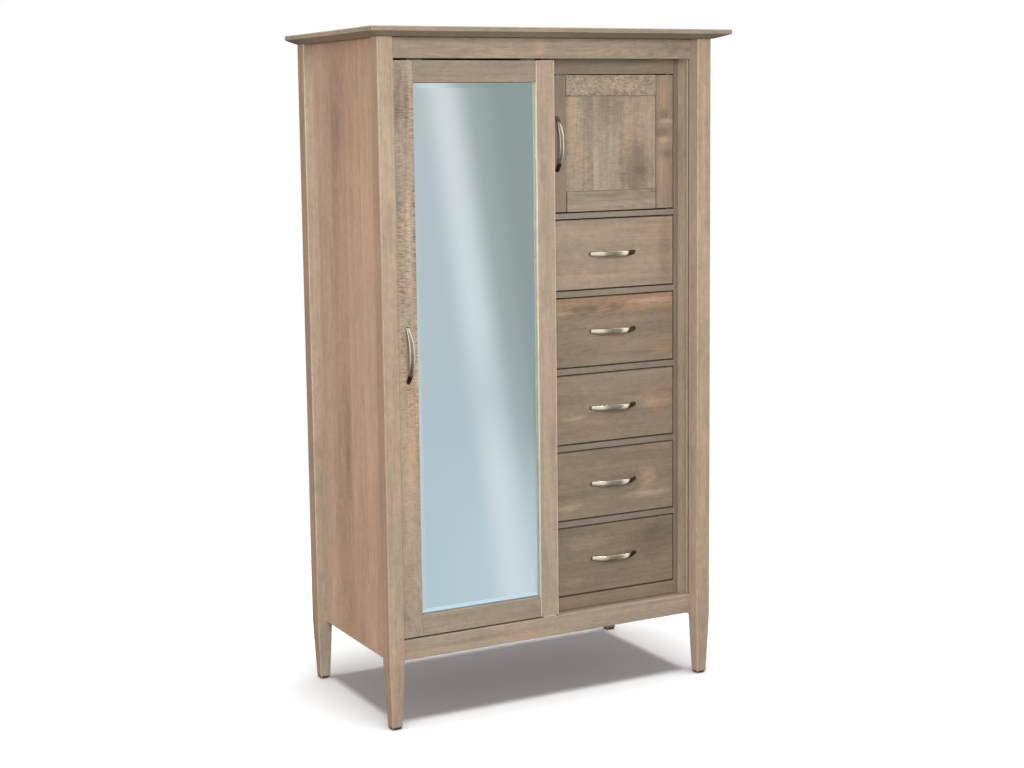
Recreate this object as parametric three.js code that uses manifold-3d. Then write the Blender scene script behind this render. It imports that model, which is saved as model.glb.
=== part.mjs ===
// Chifforobe with a sliding mirror door, a small panelled door and five drawers.
// Millimetres, +Z up. The front faces -Y, and the origin is on the floor under the middle of the top.
import * as THREE from 'three';
import { mergeVertices } from 'three/addons/utils/BufferGeometryUtils.js';
import Module from 'manifold-3d';

const wasm = await Module();
wasm.setup();

// Driving sizes: case
const totalHeight = 1829;
const caseWidth = 1008;
const caseDepth = 540;
const boardThickness = 19;
const seat = 0.3;
const arris = 1.5;
const cutOverrun = 5;

// Posts and legs
const postWidth = 44;
const footWidth = 30;
const taperHeight = 175;
const footChamferHeight = 8;
const footChamfer = 3.5;

// Top board
const topThickness = 23;
const topBand = 12;
const topSideOverhang = 35.5;
const topFrontOverhang = 50;
const topUndercut = 34;

// Rails, side panels and back
const sidePanelInset = 25;
const sidePanelLift = 171;
const railInset = 33;
const railHeight = 54;
const railLift = 177;
const backPanelThickness = 6;
const backInset = 31;
const sillDrop = 8.3;

// Drawer bank
const bankInset = 95;
const bankSideThickness = 15.4;
const bankBaseHeight = 38.3;
const bankHeaderHeight = 93.3;
const deckThickness = 17;
const deckPocketDepth = 3.5;
const deckRunnerWidth = 45;
const deckRailWidth = 60;
const drawerCount = 5;
const fitGap = 2.4;

// Drawers
const drawerWidth = 403;
const drawerSideClearance = 15.3;
const drawerSideThickness = 12;
const drawerBoxLength = 356;
const drawerBottomThickness = 6;
const drawerBottomLift = 12;
const drawerGroove = 6;
const tailCount = 4;
const tailLength = 13;
const tailFlare = 2.4;
const tailWidthShare = 0.6;
const socketGap = 0.3;

// Small door
const smallDoorHeight = 371;
const doorMember = 56;
const panelThickness = 8;
const panelRecess = 6;
const panelGroove = 9;
const pivotInset = 15;
const pivotDepth = 6;
const pivotRadius = 3;
const pivotLength = 11;
const pivotPlateRadius = 5.5;
const pivotPlate = 1;
const pivotGap = 0.3;
const catchWidth = 36;
const catchDepth = 16;
const catchHeight = 40;
const catchReach = 16;
const catchInset = 40;

// Mirror door
const mirrorDoorWidth = 472;
const mirrorDoorGap = 5;
const mirrorDoorStop = 13;
const mirrorLip = 9;
const mirrorRabbet = 10;
const mirrorThickness = 5;
const mirrorBevel = 24;
const mirrorBevelDrop = 1.8;
const backingThickness = 5;

// Track, hangers, rollers and floor guide
const trackSheet = 2.5;
const trackHeight = 40;
const trackReach = 24;
const trackLipHeight = 8;
const trackLift = 5;
const stopLength = 12;
const hangerSheet = 3;
const hangerWidth = 44;
const hangerDrop = 44;
const hangerInset = 70;
const rollerRadius = 14;
const rollerGrooveRadius = 11;
const rollerWidth = 10;
const rollerRim = 2.5;
const axleRadius = 3;
const axleHeadRadius = 5;
const axleHead = 1.5;
const guideLength = 40;
const guideFin = 4;
const guideRise = 12;
const guidePlate = 1.5;
const guideGrooveWidth = 5;
const guideGrooveDepth = 12;

// Hat shelf and garment rod
const shelfDrop = 306;
const shelfDepth = 380;
const cleatHeight = 30;
const rodDrop = 62;
const rodRadius = 12.5;
const rodFlangeRadius = 24;
const rodFlange = 4;

// Bow pulls
const pullLength = 152;
const pullProjection = 28;
const pullThickness = 6;
const pullMiddleWidth = 16;
const pullEndWidth = 11;
const pullFoot = 11;
const pullBarShare = 0.92;
const pullRoundShare = 0.75;
const pullSteps = 16;
const pullSides = 12;
const mirrorDoorPullHeight = 990;

// Places worked out from the driving sizes
const halfCase = caseWidth / 2;
const halfInside = halfCase - postWidth;
const topDepth = caseDepth + topFrontOverhang;
const frontY = topFrontOverhang - topDepth / 2;
const rearY = topDepth / 2;
const underTop = totalHeight - topThickness;
const railFrontY = frontY + railInset;
const railBackY = railFrontY + boardThickness;
const bottomRailTop = railLift + railHeight;
const topRailBottom = underTop - railHeight;
const sillTop = bottomRailTop - sillDrop;
const backPanelRearY = rearY - backInset;
const insideRearY = backPanelRearY - backPanelThickness;
const bankFrontY = frontY + bankInset;
const bankRightX = halfInside - bankSideThickness;
const bankLeftX = bankRightX - drawerWidth - 2 * fitGap;
const bankMiddleX = (bankLeftX + bankRightX) / 2;
const bankBaseTop = sillTop + bankBaseHeight;
const headerBottom = underTop - bankHeaderHeight;
const compartmentFloor = headerBottom - smallDoorHeight - 2 * fitGap;
const bankPitch = (compartmentFloor - bankBaseTop) / drawerCount;
const drawerHeight = bankPitch - deckThickness - 2 * fitGap;
const drawerSideHeight = drawerHeight - drawerSideClearance;
const shelfHeight = underTop - shelfDrop;
const partitionLeftX = bankLeftX - boardThickness;
const mirrorDoorBottom = bottomRailTop + mirrorDoorGap;
const mirrorDoorHeight = topRailBottom - mirrorDoorGap - mirrorDoorBottom;
const mirrorDoorLeftX = mirrorDoorStop - halfInside;
const mirrorDoorTravel = 2 * (halfInside - mirrorDoorStop) - mirrorDoorWidth;

// Finishes
const finish = (name, color, roughness, metalness) =>
  new THREE.MeshStandardMaterial({ name, color, roughness, metalness });
const stainedMaple = finish('stained_maple', 0xa8957f, 0.55, 0);
const clearMaple = finish('clear_maple', 0xd8bd93, 0.6, 0);
const backPly = finish('back_ply', 0xa58f76, 0.7, 0);
const mirrorGlass = finish('mirror_glass', 0xb9ced6, 0.05, 1);
const pewter = finish('pewter', 0x9a9488, 0.3, 1);
const trackSteel = finish('track_steel', 0x8f9192, 0.35, 1);
const nylon = finish('nylon', 0xe4e2db, 0.5, 0);

// A closed geometry as a solid that can be joined and cut
function solid(geometry) {
  const bare = geometry.clone();
  bare.deleteAttribute('normal');
  bare.deleteAttribute('uv');
  const merged = mergeVertices(bare);
  return new wasm.Manifold(new wasm.Mesh({
    numProp: 3,
    vertProperties: new Float32Array(merged.attributes.position.array),
    triVerts: new Uint32Array(merged.index.array),
  }));
}

// A solid turned back into a geometry
function skin(body) {
  const mesh = body.getMesh();
  const geometry = new THREE.BufferGeometry();
  geometry.setAttribute('position', new THREE.BufferAttribute(mesh.vertProperties, mesh.numProp));
  geometry.setIndex(new THREE.BufferAttribute(mesh.triVerts, 1));
  geometry.computeVertexNormals();
  return geometry;
}

function cut(geometry, ...cutters) {
  return skin(cutters.reduce((body, cutter) => body.subtract(solid(cutter)), solid(geometry)));
}

function join(geometry, ...others) {
  return skin(others.reduce((body, other) => body.add(solid(other)), solid(geometry)));
}

// A plain block between two values on each axis
function block([x0, x1], [y0, y1], [z0, z1]) {
  const box = new THREE.BoxGeometry(x1 - x0, y1 - y0, z1 - z0);
  return box.translate((x0 + x1) / 2, (y0 + y1) / 2, (z0 + z1) / 2);
}

// Rings of points, each with the same count, joined into one closed skin with flat ends
function loft(rings) {
  const sides = rings[0].length;
  const positions = rings.flat().flatMap((point) => point.toArray());
  const faces = [];
  for (let ring = 1; ring < rings.length; ring += 1) {
    for (let side = 0; side < sides; side += 1) {
      const next = (side + 1) % sides;
      const low = (ring - 1) * sides;
      const high = ring * sides;
      faces.push(low + side, low + next, high + next, low + side, high + next, high + side);
    }
  }
  const last = (rings.length - 1) * sides;
  for (let side = 2; side < sides; side += 1) {
    faces.push(0, side, side - 1, last, last + side - 1, last + side);
  }
  const geometry = new THREE.BufferGeometry();
  geometry.setAttribute('position', new THREE.Float32BufferAttribute(positions, 3));
  geometry.setIndex(faces);
  geometry.computeVertexNormals();
  return geometry;
}

// A level ring with its four corners cut off by the chamfer, counter-clockwise from above
function chamferedRing([x0, x1], [y0, y1], z, chamfer) {
  return [
    [x0 + chamfer, y0], [x1 - chamfer, y0], [x1, y0 + chamfer], [x1, y1 - chamfer],
    [x1 - chamfer, y1], [x0 + chamfer, y1], [x0, y1 - chamfer], [x0, y0 + chamfer],
  ].map(([x, y]) => new THREE.Vector3(x, y, z));
}

// A rectangle whose corners are eased by the given amounts: lower left, lower right, upper right, upper left
function easedShape([u0, u1], [v0, v1], [lowLeft, lowRight, highRight, highLeft]) {
  const corners = [];
  const corner = (u, v, ease, du, dv, du2, dv2) => {
    if (ease > 0) {
      corners.push(new THREE.Vector2(u + du * ease, v + dv * ease));
      corners.push(new THREE.Vector2(u + du2 * ease, v + dv2 * ease));
    } else {
      corners.push(new THREE.Vector2(u, v));
    }
  };
  corner(u0, v0, lowLeft, 0, 1, 1, 0);
  corner(u1, v0, lowRight, -1, 0, 0, 1);
  corner(u1, v1, highRight, 0, -1, -1, 0);
  corner(u0, v1, highLeft, 1, 0, 0, -1);
  return new THREE.Shape(corners);
}

// A section drawn on X and Y, run along Z
function alongZ(shape, [z0, z1]) {
  const bar = new THREE.ExtrudeGeometry(shape, { depth: z1 - z0, bevelEnabled: false });
  return bar.translate(0, 0, z0);
}

// A section drawn on Y and Z, run along X
function alongX(shape, [x0, x1]) {
  const bar = new THREE.ExtrudeGeometry(shape, { depth: x1 - x0, bevelEnabled: false });
  const turn = new THREE.Matrix4().makeBasis(
    new THREE.Vector3(0, 1, 0), new THREE.Vector3(0, 0, 1), new THREE.Vector3(1, 0, 0));
  return bar.applyMatrix4(turn).translate(x0, 0, 0);
}

// A round bar on the Z axis, given as pairs of radius and height
function turned(profile, segments) {
  const points = profile.map(([radius, height]) => new THREE.Vector2(radius, height));
  return new THREE.LatheGeometry(points, segments).rotateX(Math.PI / 2);
}

// A named piece: its geometry is recentred on itself and its mesh stands at that centre
function piece(parent, name, geometry, material) {
  geometry.computeBoundingBox();
  const centre = geometry.boundingBox.getCenter(new THREE.Vector3());
  geometry.translate(-centre.x, -centre.y, -centre.z);
  const mesh = new THREE.Mesh(geometry, material);
  mesh.name = name;
  mesh.position.copy(centre);
  parent.add(mesh);
  return mesh;
}

// Top board: an upright band over an undercut on three sides, square at the back
function topBoard() {
  const halfWidth = halfCase + topSideOverhang;
  const ring = (inset, z) => {
    const front = inset - topDepth / 2;
    const side = halfWidth - inset;
    return [[-side, front], [side, front], [side, rearY], [-side, rearY]]
      .map(([x, y]) => new THREE.Vector3(x, y, z));
  };
  return loft([
    ring(topUndercut, underTop),
    ring(0, totalHeight - topBand),
    ring(0, totalHeight - arris),
    ring(arris, totalHeight),
  ]);
}

// Post that runs down into a leg, tapered on all four faces, with a chamfered foot
function post(x, y) {
  const ring = (width, z) => {
    const half = width / 2;
    return chamferedRing([x - half, x + half], [y - half, y + half], z, arris);
  };
  return loft([
    ring(footWidth - 2 * footChamfer, 0),
    ring(footWidth, footChamferHeight),
    ring(postWidth, taperHeight),
    ring(postWidth, underTop - seat),
  ]);
}

// Case
function addCase(parent) {
  piece(parent, 'top_board', topBoard(), stainedMaple);

  const postX = halfCase - postWidth / 2;
  const postY = { front: frontY + postWidth / 2, back: rearY - postWidth / 2 };
  for (const [side, sign] of [['left', -1], ['right', 1]]) {
    for (const [end, y] of Object.entries(postY)) {
      piece(parent, `post_${end}_${side}`, post(sign * postX, y), stainedMaple);
    }
    const outer = halfCase - sidePanelInset;
    const inner = outer - boardThickness;
    const span = sign > 0 ? [inner, outer] : [-outer, -inner];
    const panel = block(
      span, [frontY + postWidth + seat, rearY - postWidth - seat], [sidePanelLift, underTop - seat]);
    piece(parent, `side_panel_${side}`, panel, stainedMaple);
  }

  const inside = [seat - halfInside, halfInside - seat];
  const railShape = (z0, z1) =>
    easedShape([railFrontY, railBackY], [z0, z1], [arris, 0, 0, arris]);
  piece(parent, 'front_rail_top', alongX(railShape(topRailBottom, underTop - seat), inside), stainedMaple);
  piece(parent, 'front_rail_bottom', alongX(railShape(railLift, bottomRailTop), inside), stainedMaple);

  const backPanel = block(inside, [insideRearY, backPanelRearY], [railLift, underTop - seat]);
  piece(parent, 'back_panel', backPanel, backPly);
  const backRailY = [backPanelRearY + seat, backPanelRearY + seat + boardThickness];
  const backRail = alongX(easedShape(backRailY, [railLift, bottomRailTop], [0, arris, arris, 0]), inside);
  piece(parent, 'back_rail', backRail, stainedMaple);

  const bottomY = [railBackY + seat, insideRearY - seat];
  const bottom = block(inside, bottomY, [sillTop - boardThickness, sillTop]);
  piece(parent, 'bottom_board', bottom, stainedMaple);
}

// Partition, liner, header, base and decks that form the drawer bank
function addBank(parent) {
  const depth = [bankFrontY, insideRearY - seat];
  const height = [sillTop + seat, underTop - seat];
  const between = [bankLeftX + seat, bankRightX - seat];
  piece(parent, 'partition', block([partitionLeftX, bankLeftX], depth, height), stainedMaple);
  piece(parent, 'bank_side', block([bankRightX, halfInside - seat], depth, height), stainedMaple);

  const headerY = [bankFrontY, bankFrontY + boardThickness];
  piece(parent, 'bank_header', block(between, headerY, [headerBottom, underTop - seat]), stainedMaple);

  const base = new THREE.Shape([
    [bankFrontY, sillTop + seat],
    [bankFrontY + boardThickness, sillTop + seat],
    [bankFrontY + boardThickness, bankBaseTop - deckThickness],
    [insideRearY - seat, bankBaseTop - deckThickness],
    [insideRearY - seat, bankBaseTop],
    [bankFrontY, bankBaseTop],
  ].map(([y, z]) => new THREE.Vector2(y, z)));
  piece(parent, 'bank_base', alongX(base, between), stainedMaple);

  // Each deck is a web frame: rails and runners round a thinner dust panel
  const pocketX = [between[0] + deckRunnerWidth, between[1] - deckRunnerWidth];
  const pocketY = [depth[0] + deckRailWidth, depth[1] - deckRailWidth];
  for (let level = 1; level <= drawerCount; level += 1) {
    const top = bankBaseTop + level * bankPitch;
    const underside = top - deckThickness;
    const plate = block(between, depth, [underside, top]);
    const below = block(pocketX, pocketY, [underside - cutOverrun, underside + deckPocketDepth]);
    const above = block(pocketX, pocketY, [top - deckPocketDepth, top + cutOverrun]);
    const isFloor = level === drawerCount;
    const name = isFloor ? 'compartment_floor' : `drawer_deck_${drawerCount - level}`;
    piece(parent, name, isFloor ? cut(plate, below) : cut(plate, below, above), stainedMaple);
  }
}

// Hat shelf on its end cleats, and the garment rod under it
function addWardrobeSide(parent) {
  const span = [seat - halfInside, partitionLeftX - seat];
  const back = insideRearY - seat;
  const shelfY = [back - shelfDepth, back];
  const underside = shelfHeight - boardThickness;
  const shelf = alongX(easedShape(shelfY, [underside, shelfHeight], [arris, 0, 0, arris]), span);
  const cleatZ = [underside - cleatHeight, underside];
  const cleatY = [shelfY[0] + cleatHeight, back];
  const cleats = [
    block([span[0], span[0] + boardThickness], cleatY, cleatZ),
    block([span[1] - boardThickness, span[1]], cleatY, cleatZ),
  ];
  piece(parent, 'hat_shelf', join(shelf, ...cleats), stainedMaple);

  const length = span[1] - span[0];
  const rod = turned([
    [0, 0],
    [rodFlangeRadius, 0],
    [rodFlangeRadius, rodFlange],
    [rodRadius, rodFlange],
    [rodRadius, length - rodFlange],
    [rodFlangeRadius, length - rodFlange],
    [rodFlangeRadius, length],
    [0, length],
  ], 24);
  const rodY = (railBackY + insideRearY) / 2;
  rod.rotateY(Math.PI / 2).translate(span[0], rodY, underside - rodDrop);
  piece(parent, 'garment_rod', rod, trackSteel);
}

// Bow pull on the plane y = 0, its bar along X: an arch of a flattened oval, widest in the middle,
// whose ends run out into two feet cut off on the plane
function bowPull() {
  const halfSpan = (pullLength - pullFoot) / 2;
  const rise = pullProjection - pullThickness / 2;
  const flatten = (value) => Math.sign(value) * Math.pow(Math.abs(value), pullRoundShare);
  const rings = [];
  for (let step = 0; step <= pullSteps; step += 1) {
    const atFoot = step === 0 || step === pullSteps;
    const barShare = pullBarShare * (2 * (step - 1) / (pullSteps - 2) - 1);
    const share = atFoot ? Math.sign(step - 1) : barShare;
    const bow = 1 - share * share;
    const centre = new THREE.Vector3(share * halfSpan, -rise * bow, 0);
    const along = new THREE.Vector3(halfSpan, 2 * rise * share, 0).normalize();
    const out = atFoot
      ? new THREE.Vector3(share * pullFoot / 2, 0, 0)
      : new THREE.Vector3(along.y, -along.x, 0).multiplyScalar(pullThickness / 2);
    const halfWidth = (pullEndWidth + (pullMiddleWidth - pullEndWidth) * bow) / 2;
    const ring = [];
    for (let side = 0; side < pullSides; side += 1) {
      const angle = -2 * Math.PI * side / pullSides;
      const away = out.clone().multiplyScalar(flatten(Math.cos(angle)));
      ring.push(centre.clone().add(away).setZ(flatten(Math.sin(angle)) * halfWidth));
    }
    rings.push(ring);
  }
  return loft(rings).translate(0, -seat, 0);
}

// Frame member of a door, cut on its inner edge for what the frame holds
function doorMemberBar(shape, span, cuts) {
  const bar = alongZ(shape, span);
  return cuts.length > 0 ? cut(bar, ...cuts) : bar;
}

// Stiles and rails of a framed door in the group's own frame: left edge x = 0, front y = 0, foot z = 0.
// The inner edges are cut over the given depth range, for a groove or a rabbet of the given reach.
function addDoorFrame(group, label, width, height, reach, slot, extraCuts) {
  const right = width - doorMember;
  const top = height - doorMember;
  const sight = [doorMember - reach, top + reach];
  const ease = arris;
  const stileShapes = {
    left: easedShape([0, doorMember], [0, boardThickness], [ease, 0, 0, 0]),
    right: easedShape([right, width], [0, boardThickness], [0, ease, 0, 0]),
  };
  const stileSlots = {
    left: block([doorMember - reach, doorMember + cutOverrun], slot, sight),
    right: block([right - cutOverrun, right + reach], slot, sight),
  };
  for (const side of ['left', 'right']) {
    const bar = doorMemberBar(stileShapes[side], [0, height], [stileSlots[side], ...extraCuts[side]]);
    piece(group, `${label}_stile_${side}`, bar, stainedMaple);
  }
  const span = [doorMember + seat, right - seat];
  const overSpan = [0, width];
  const railBars = {
    bottom: block(span, [0, boardThickness], [0, doorMember]),
    top: block(span, [0, boardThickness], [top, height]),
  };
  const railSlots = {
    bottom: block(overSpan, slot, [doorMember - reach, doorMember + cutOverrun]),
    top: block(overSpan, slot, [top - cutOverrun, top + reach]),
  };
  for (const end of ['bottom', 'top']) {
    const bar = cut(railBars[end], railSlots[end], ...extraCuts[end]);
    piece(group, `${label}_rail_${end}`, bar, stainedMaple);
  }
}

// Bevelled mirror plate, its silvered back flat and its front stepped down to a thin edge
function mirrorPlate([x0, x1], [z0, z1], frontY0) {
  const plate = (inset, y) => [
    new THREE.Vector3(x0 + inset, y, z0 + inset),
    new THREE.Vector3(x1 - inset, y, z0 + inset),
    new THREE.Vector3(x1 - inset, y, z1 - inset),
    new THREE.Vector3(x0 + inset, y, z1 - inset),
  ];
  return loft([
    plate(0, frontY0 + mirrorThickness),
    plate(0, frontY0 + mirrorBevelDrop),
    plate(mirrorBevel, frontY0),
  ]);
}

// Grooved roller that rides on the lip of the track, bored for its axle, on the Y axis
function roller() {
  const bore = axleRadius + socketGap;
  const half = rollerWidth / 2;
  const profile = [
    [bore, -half],
    [rollerRadius, -half],
    [rollerRadius, rollerRim - half],
    [rollerGrooveRadius, 2 * rollerRim - half - rollerRim / 2],
    [rollerGrooveRadius, half - 2 * rollerRim + rollerRim / 2],
    [rollerRadius, half - rollerRim],
    [rollerRadius, half],
    [bore, half],
    [bore, -half],
  ];
  return turned(profile, 20).rotateX(Math.PI / 2);
}

// Sliding mirror door with its hangers and rollers
function addMirrorDoor(parent) {
  const door = new THREE.Group();
  door.position.set(mirrorDoorLeftX, railFrontY, mirrorDoorBottom);
  parent.add(door);

  const width = mirrorDoorWidth;
  const height = mirrorDoorHeight;
  const grooveY = [(boardThickness - guideGrooveWidth) / 2, (boardThickness + guideGrooveWidth) / 2];
  const groove = () => block([-cutOverrun, width + cutOverrun], grooveY, [-cutOverrun, guideGrooveDepth]);
  const rabbet = [mirrorLip, boardThickness + cutOverrun];
  addDoorFrame(door, 'mirror_door', width, height, mirrorRabbet, rabbet, {
    left: [groove()], right: [groove()], bottom: [groove()], top: [],
  });

  const reach = mirrorRabbet - seat;
  const glassX = [doorMember - reach, width - doorMember + reach];
  const glassZ = [doorMember - reach, height - doorMember + reach];
  const bevelPastLip = mirrorBevelDrop * (1 - reach / mirrorBevel);
  const glassY = mirrorLip + seat - bevelPastLip;
  piece(door, 'mirror', mirrorPlate(glassX, glassZ, glassY), mirrorGlass);
  const backingY = glassY + mirrorThickness + seat;
  const backing = block(glassX, [backingY, backingY + backingThickness], glassZ);
  piece(door, 'mirror_backing', backing, backPly);

  const pull = bowPull().rotateY(Math.PI / 2);
  pull.translate(doorMember / 2, 0, mirrorDoorPullHeight - mirrorDoorBottom);
  piece(door, 'mirror_door_pull', pull, pewter);

  addHangers(door, width, height);
}

// Heights of the track, from the door's own foot, that the hangers and rollers share
const trackFoot = topRailBottom - mirrorDoorBottom + trackLift;
const lipTop = trackFoot + trackSheet + trackLipHeight;
const lipY = boardThickness + seat + trackReach - trackSheet / 2;
const axleZ = lipTop + rollerGrooveRadius + seat;

function addHangers(door, width, height) {
  const backY = boardThickness + seat;
  const armY = lipY + rollerWidth / 2 + seat;
  const stepTop = trackFoot - seat;
  const stepFoot = stepTop - hangerSheet;
  const bend = new THREE.Shape([
    [backY, height - hangerDrop],
    [backY + hangerSheet, height - hangerDrop],
    [backY + hangerSheet, stepFoot],
    [armY + hangerSheet, stepFoot],
    [armY + hangerSheet, axleZ + rollerGrooveRadius],
    [armY, axleZ + rollerGrooveRadius],
    [armY, stepTop],
    [backY, stepTop],
  ].map(([y, z]) => new THREE.Vector2(y, z)));

  const axleEnd = lipY - rollerWidth / 2 - seat;
  const shank = armY + hangerSheet / 2 - axleEnd;
  for (const [side, x] of [['left', hangerInset], ['right', width - hangerInset]]) {
    const plate = alongX(bend, [x - hangerWidth / 2, x + hangerWidth / 2]);
    const axle = turned([
      [0, 0],
      [axleRadius, 0],
      [axleRadius, shank],
      [axleHeadRadius, shank],
      [axleHeadRadius, shank + axleHead],
      [0, shank + axleHead],
    ], 20);
    axle.rotateX(Math.PI / 2).translate(x, armY + hangerSheet / 2, axleZ);
    piece(door, `door_hanger_${side}`, join(plate, axle), trackSteel);
    piece(door, `door_roller_${side}`, roller().translate(x, lipY, axleZ), nylon);
  }
}

// Track screwed behind the top rail, with an upturned lip for the rollers and a stop at each end
function addTrack(parent) {
  const y0 = railBackY + seat;
  const y1 = y0 + trackReach;
  const z0 = mirrorDoorBottom + trackFoot;
  const section = new THREE.Shape([
    [y0, z0],
    [y1, z0],
    [y1, z0 + trackSheet + trackLipHeight],
    [y1 - trackSheet, z0 + trackSheet + trackLipHeight],
    [y1 - trackSheet, z0 + trackSheet],
    [y0 + trackSheet, z0 + trackSheet],
    [y0 + trackSheet, z0 + trackHeight],
    [y0, z0 + trackHeight],
  ].map(([y, z]) => new THREE.Vector2(y, z)));
  const rail = alongX(section, [seat - halfInside, halfInside - seat]);

  const firstRollerX = mirrorDoorLeftX + hangerInset;
  const lastRollerX = mirrorDoorLeftX + mirrorDoorWidth - hangerInset + mirrorDoorTravel;
  const reach = rollerRadius + seat;
  const stopY = [y0 + trackSheet / 2, y1 - trackSheet / 2];
  const stopZ = [z0 + trackSheet / 2, mirrorDoorBottom + axleZ];
  const stops = [
    block([firstRollerX - reach - stopLength, firstRollerX - reach], stopY, stopZ),
    block([lastRollerX + reach, lastRollerX + reach + stopLength], stopY, stopZ),
  ];
  piece(parent, 'door_track', join(rail, ...stops), trackSteel);

  const middleY = railFrontY + boardThickness / 2;
  const halfLength = guideLength / 2;
  const plateY = [middleY - guideGrooveWidth, middleY + guideGrooveWidth];
  const plateTop = bottomRailTop + seat + guidePlate;
  const foot = block([-halfLength, halfLength], plateY, [bottomRailTop + seat, plateTop]);
  const fin = block(
    [-halfLength, halfLength], [middleY - guideFin / 2, middleY + guideFin / 2],
    [bottomRailTop + seat + guidePlate / 2, plateTop + guideRise]);
  piece(parent, 'door_guide', join(foot, fin), nylon);
}

// Small door on two pivot pins, and the catch that it closes against
function addSmallDoor(parent) {
  const door = new THREE.Group();
  const bottom = compartmentFloor + fitGap;
  door.position.set(bankLeftX + fitGap, bankFrontY, bottom);
  parent.add(door);

  const width = drawerWidth;
  const height = smallDoorHeight;
  const bore = (z) => {
    const hole = turned([
      [0, -pivotLength],
      [pivotRadius + pivotGap, -pivotLength],
      [pivotRadius + pivotGap, pivotLength],
      [0, pivotLength],
    ], 20);
    return hole.translate(width - pivotInset, pivotDepth, z);
  };
  const groove = [panelRecess, panelRecess + panelThickness + 2 * seat];
  addDoorFrame(door, 'small_door', width, height, panelGroove, groove, {
    left: [], right: [bore(0), bore(height)], bottom: [], top: [],
  });
  const reach = panelGroove - seat;
  const panel = block(
    [doorMember - reach, width - doorMember + reach],
    [panelRecess + seat, panelRecess + seat + panelThickness],
    [doorMember - reach, height - doorMember + reach]);
  piece(door, 'small_door_panel', panel, stainedMaple);
  const pull = bowPull().rotateY(Math.PI / 2).translate(doorMember / 2, 0, height / 2);
  piece(door, 'small_door_pull', pull, pewter);

  const pinX = bankLeftX + fitGap + width - pivotInset;
  const pin = turned([
    [0, 0],
    [pivotPlateRadius, 0],
    [pivotPlateRadius, pivotPlate],
    [pivotRadius, pivotPlate],
    [pivotRadius, pivotLength],
    [0, pivotLength],
  ], 20);
  const lower = pin.clone().translate(pinX, bankFrontY + pivotDepth, compartmentFloor + seat);
  const upper = pin.clone().rotateX(Math.PI);
  upper.translate(pinX, bankFrontY + pivotDepth, headerBottom - seat);
  piece(parent, 'small_door_pivot_lower', lower, trackSteel);
  piece(parent, 'small_door_pivot_upper', upper, trackSteel);

  const catchX = bankLeftX + catchInset;
  const catchY = bankFrontY + boardThickness + seat;
  const body = block(
    [catchX, catchX + catchWidth], [catchY, catchY + catchDepth],
    [headerBottom - catchReach, headerBottom - catchReach + catchHeight]);
  piece(parent, 'small_door_catch', body, nylon);
}

// Drawer side drawn on Y and Z: a board whose front end is cut into flared tails
function drawerSideShape(clearance) {
  const pitch = drawerSideHeight / tailCount;
  const root = boardThickness + seat;
  const tip = root - tailLength - clearance;
  const halfRoot = pitch * tailWidthShare / 2 + clearance;
  const halfTip = halfRoot + tailFlare;
  const outline = [[root, 0]];
  for (let tail = 0; tail < tailCount; tail += 1) {
    const middle = (tail + 0.5) * pitch;
    outline.push([root, middle - halfRoot], [tip, middle - halfTip]);
    outline.push([tip, middle + halfTip], [root, middle + halfRoot]);
  }
  outline.push([root, drawerSideHeight], [root + drawerBoxLength, drawerSideHeight]);
  outline.push([root + drawerBoxLength, 0]);
  const shape = new THREE.Shape(outline.reverse().map(([y, z]) => new THREE.Vector2(y, z)));
  return shape;
}

// Drawer in its own frame: front y = 0, runner level z = 0, middle x = 0
function addDrawer(parent, number) {
  const drawer = new THREE.Group();
  const level = bankBaseTop + (drawerCount - number) * bankPitch;
  drawer.position.set(bankMiddleX, bankFrontY, level);
  parent.add(drawer);

  const half = drawerWidth / 2;
  const root = boardThickness + seat;
  const boxEnd = root + drawerBoxLength;
  const inner = half - drawerSideThickness;
  const bottomZ = [seat + drawerBottomLift, seat + drawerBottomLift + drawerBottomThickness];
  const side = (clearance, x0, x1) =>
    alongX(drawerSideShape(clearance), [x0, x1]).translate(0, 0, seat);
  const left = side(0, -half, -inner);
  const right = side(0, inner, half);
  const back = block(
    [-inner - seat, inner + seat], [boxEnd - drawerSideThickness, boxEnd],
    [seat, seat + drawerSideHeight - drawerBottomLift]);
  const bottom = block(
    [-inner - drawerGroove / 2, inner + drawerGroove / 2],
    [root - drawerGroove, boxEnd - drawerSideThickness / 2], bottomZ);
  piece(drawer, `drawer_${number}_box`, join(left, right, back, bottom), clearMaple);

  // The front is eased all round its face and socketed from behind for the tails and the bottom
  const face = (inset, y) => [
    new THREE.Vector3(inset - half, y, fitGap + inset),
    new THREE.Vector3(half - inset, y, fitGap + inset),
    new THREE.Vector3(half - inset, y, fitGap + drawerHeight - inset),
    new THREE.Vector3(inset - half, y, fitGap + drawerHeight - inset),
  ];
  const slab = loft([face(0, boardThickness), face(0, arris), face(arris, 0)]);
  const sockets = [
    side(socketGap, -half - cutOverrun, socketGap - inner),
    side(socketGap, inner - socketGap, half + cutOverrun),
  ];
  const bottomGroove = block(
    [-inner - drawerGroove, inner + drawerGroove],
    [root - drawerGroove - seat, boardThickness + cutOverrun],
    [bottomZ[0] - seat, bottomZ[1] + seat]);
  piece(drawer, `drawer_${number}_front`, cut(slab, ...sockets, bottomGroove), stainedMaple);

  const pull = bowPull().translate(0, 0, fitGap + drawerHeight / 2);
  piece(drawer, `drawer_${number}_pull`, pull, pewter);
}

const chifforobe = new THREE.Group();
addCase(chifforobe);
addBank(chifforobe);
addWardrobeSide(chifforobe);
addTrack(chifforobe);
addMirrorDoor(chifforobe);
addSmallDoor(chifforobe);
for (let number = 1; number <= drawerCount; number += 1) {
  addDrawer(chifforobe, number);
}

export default chifforobe;
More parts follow.
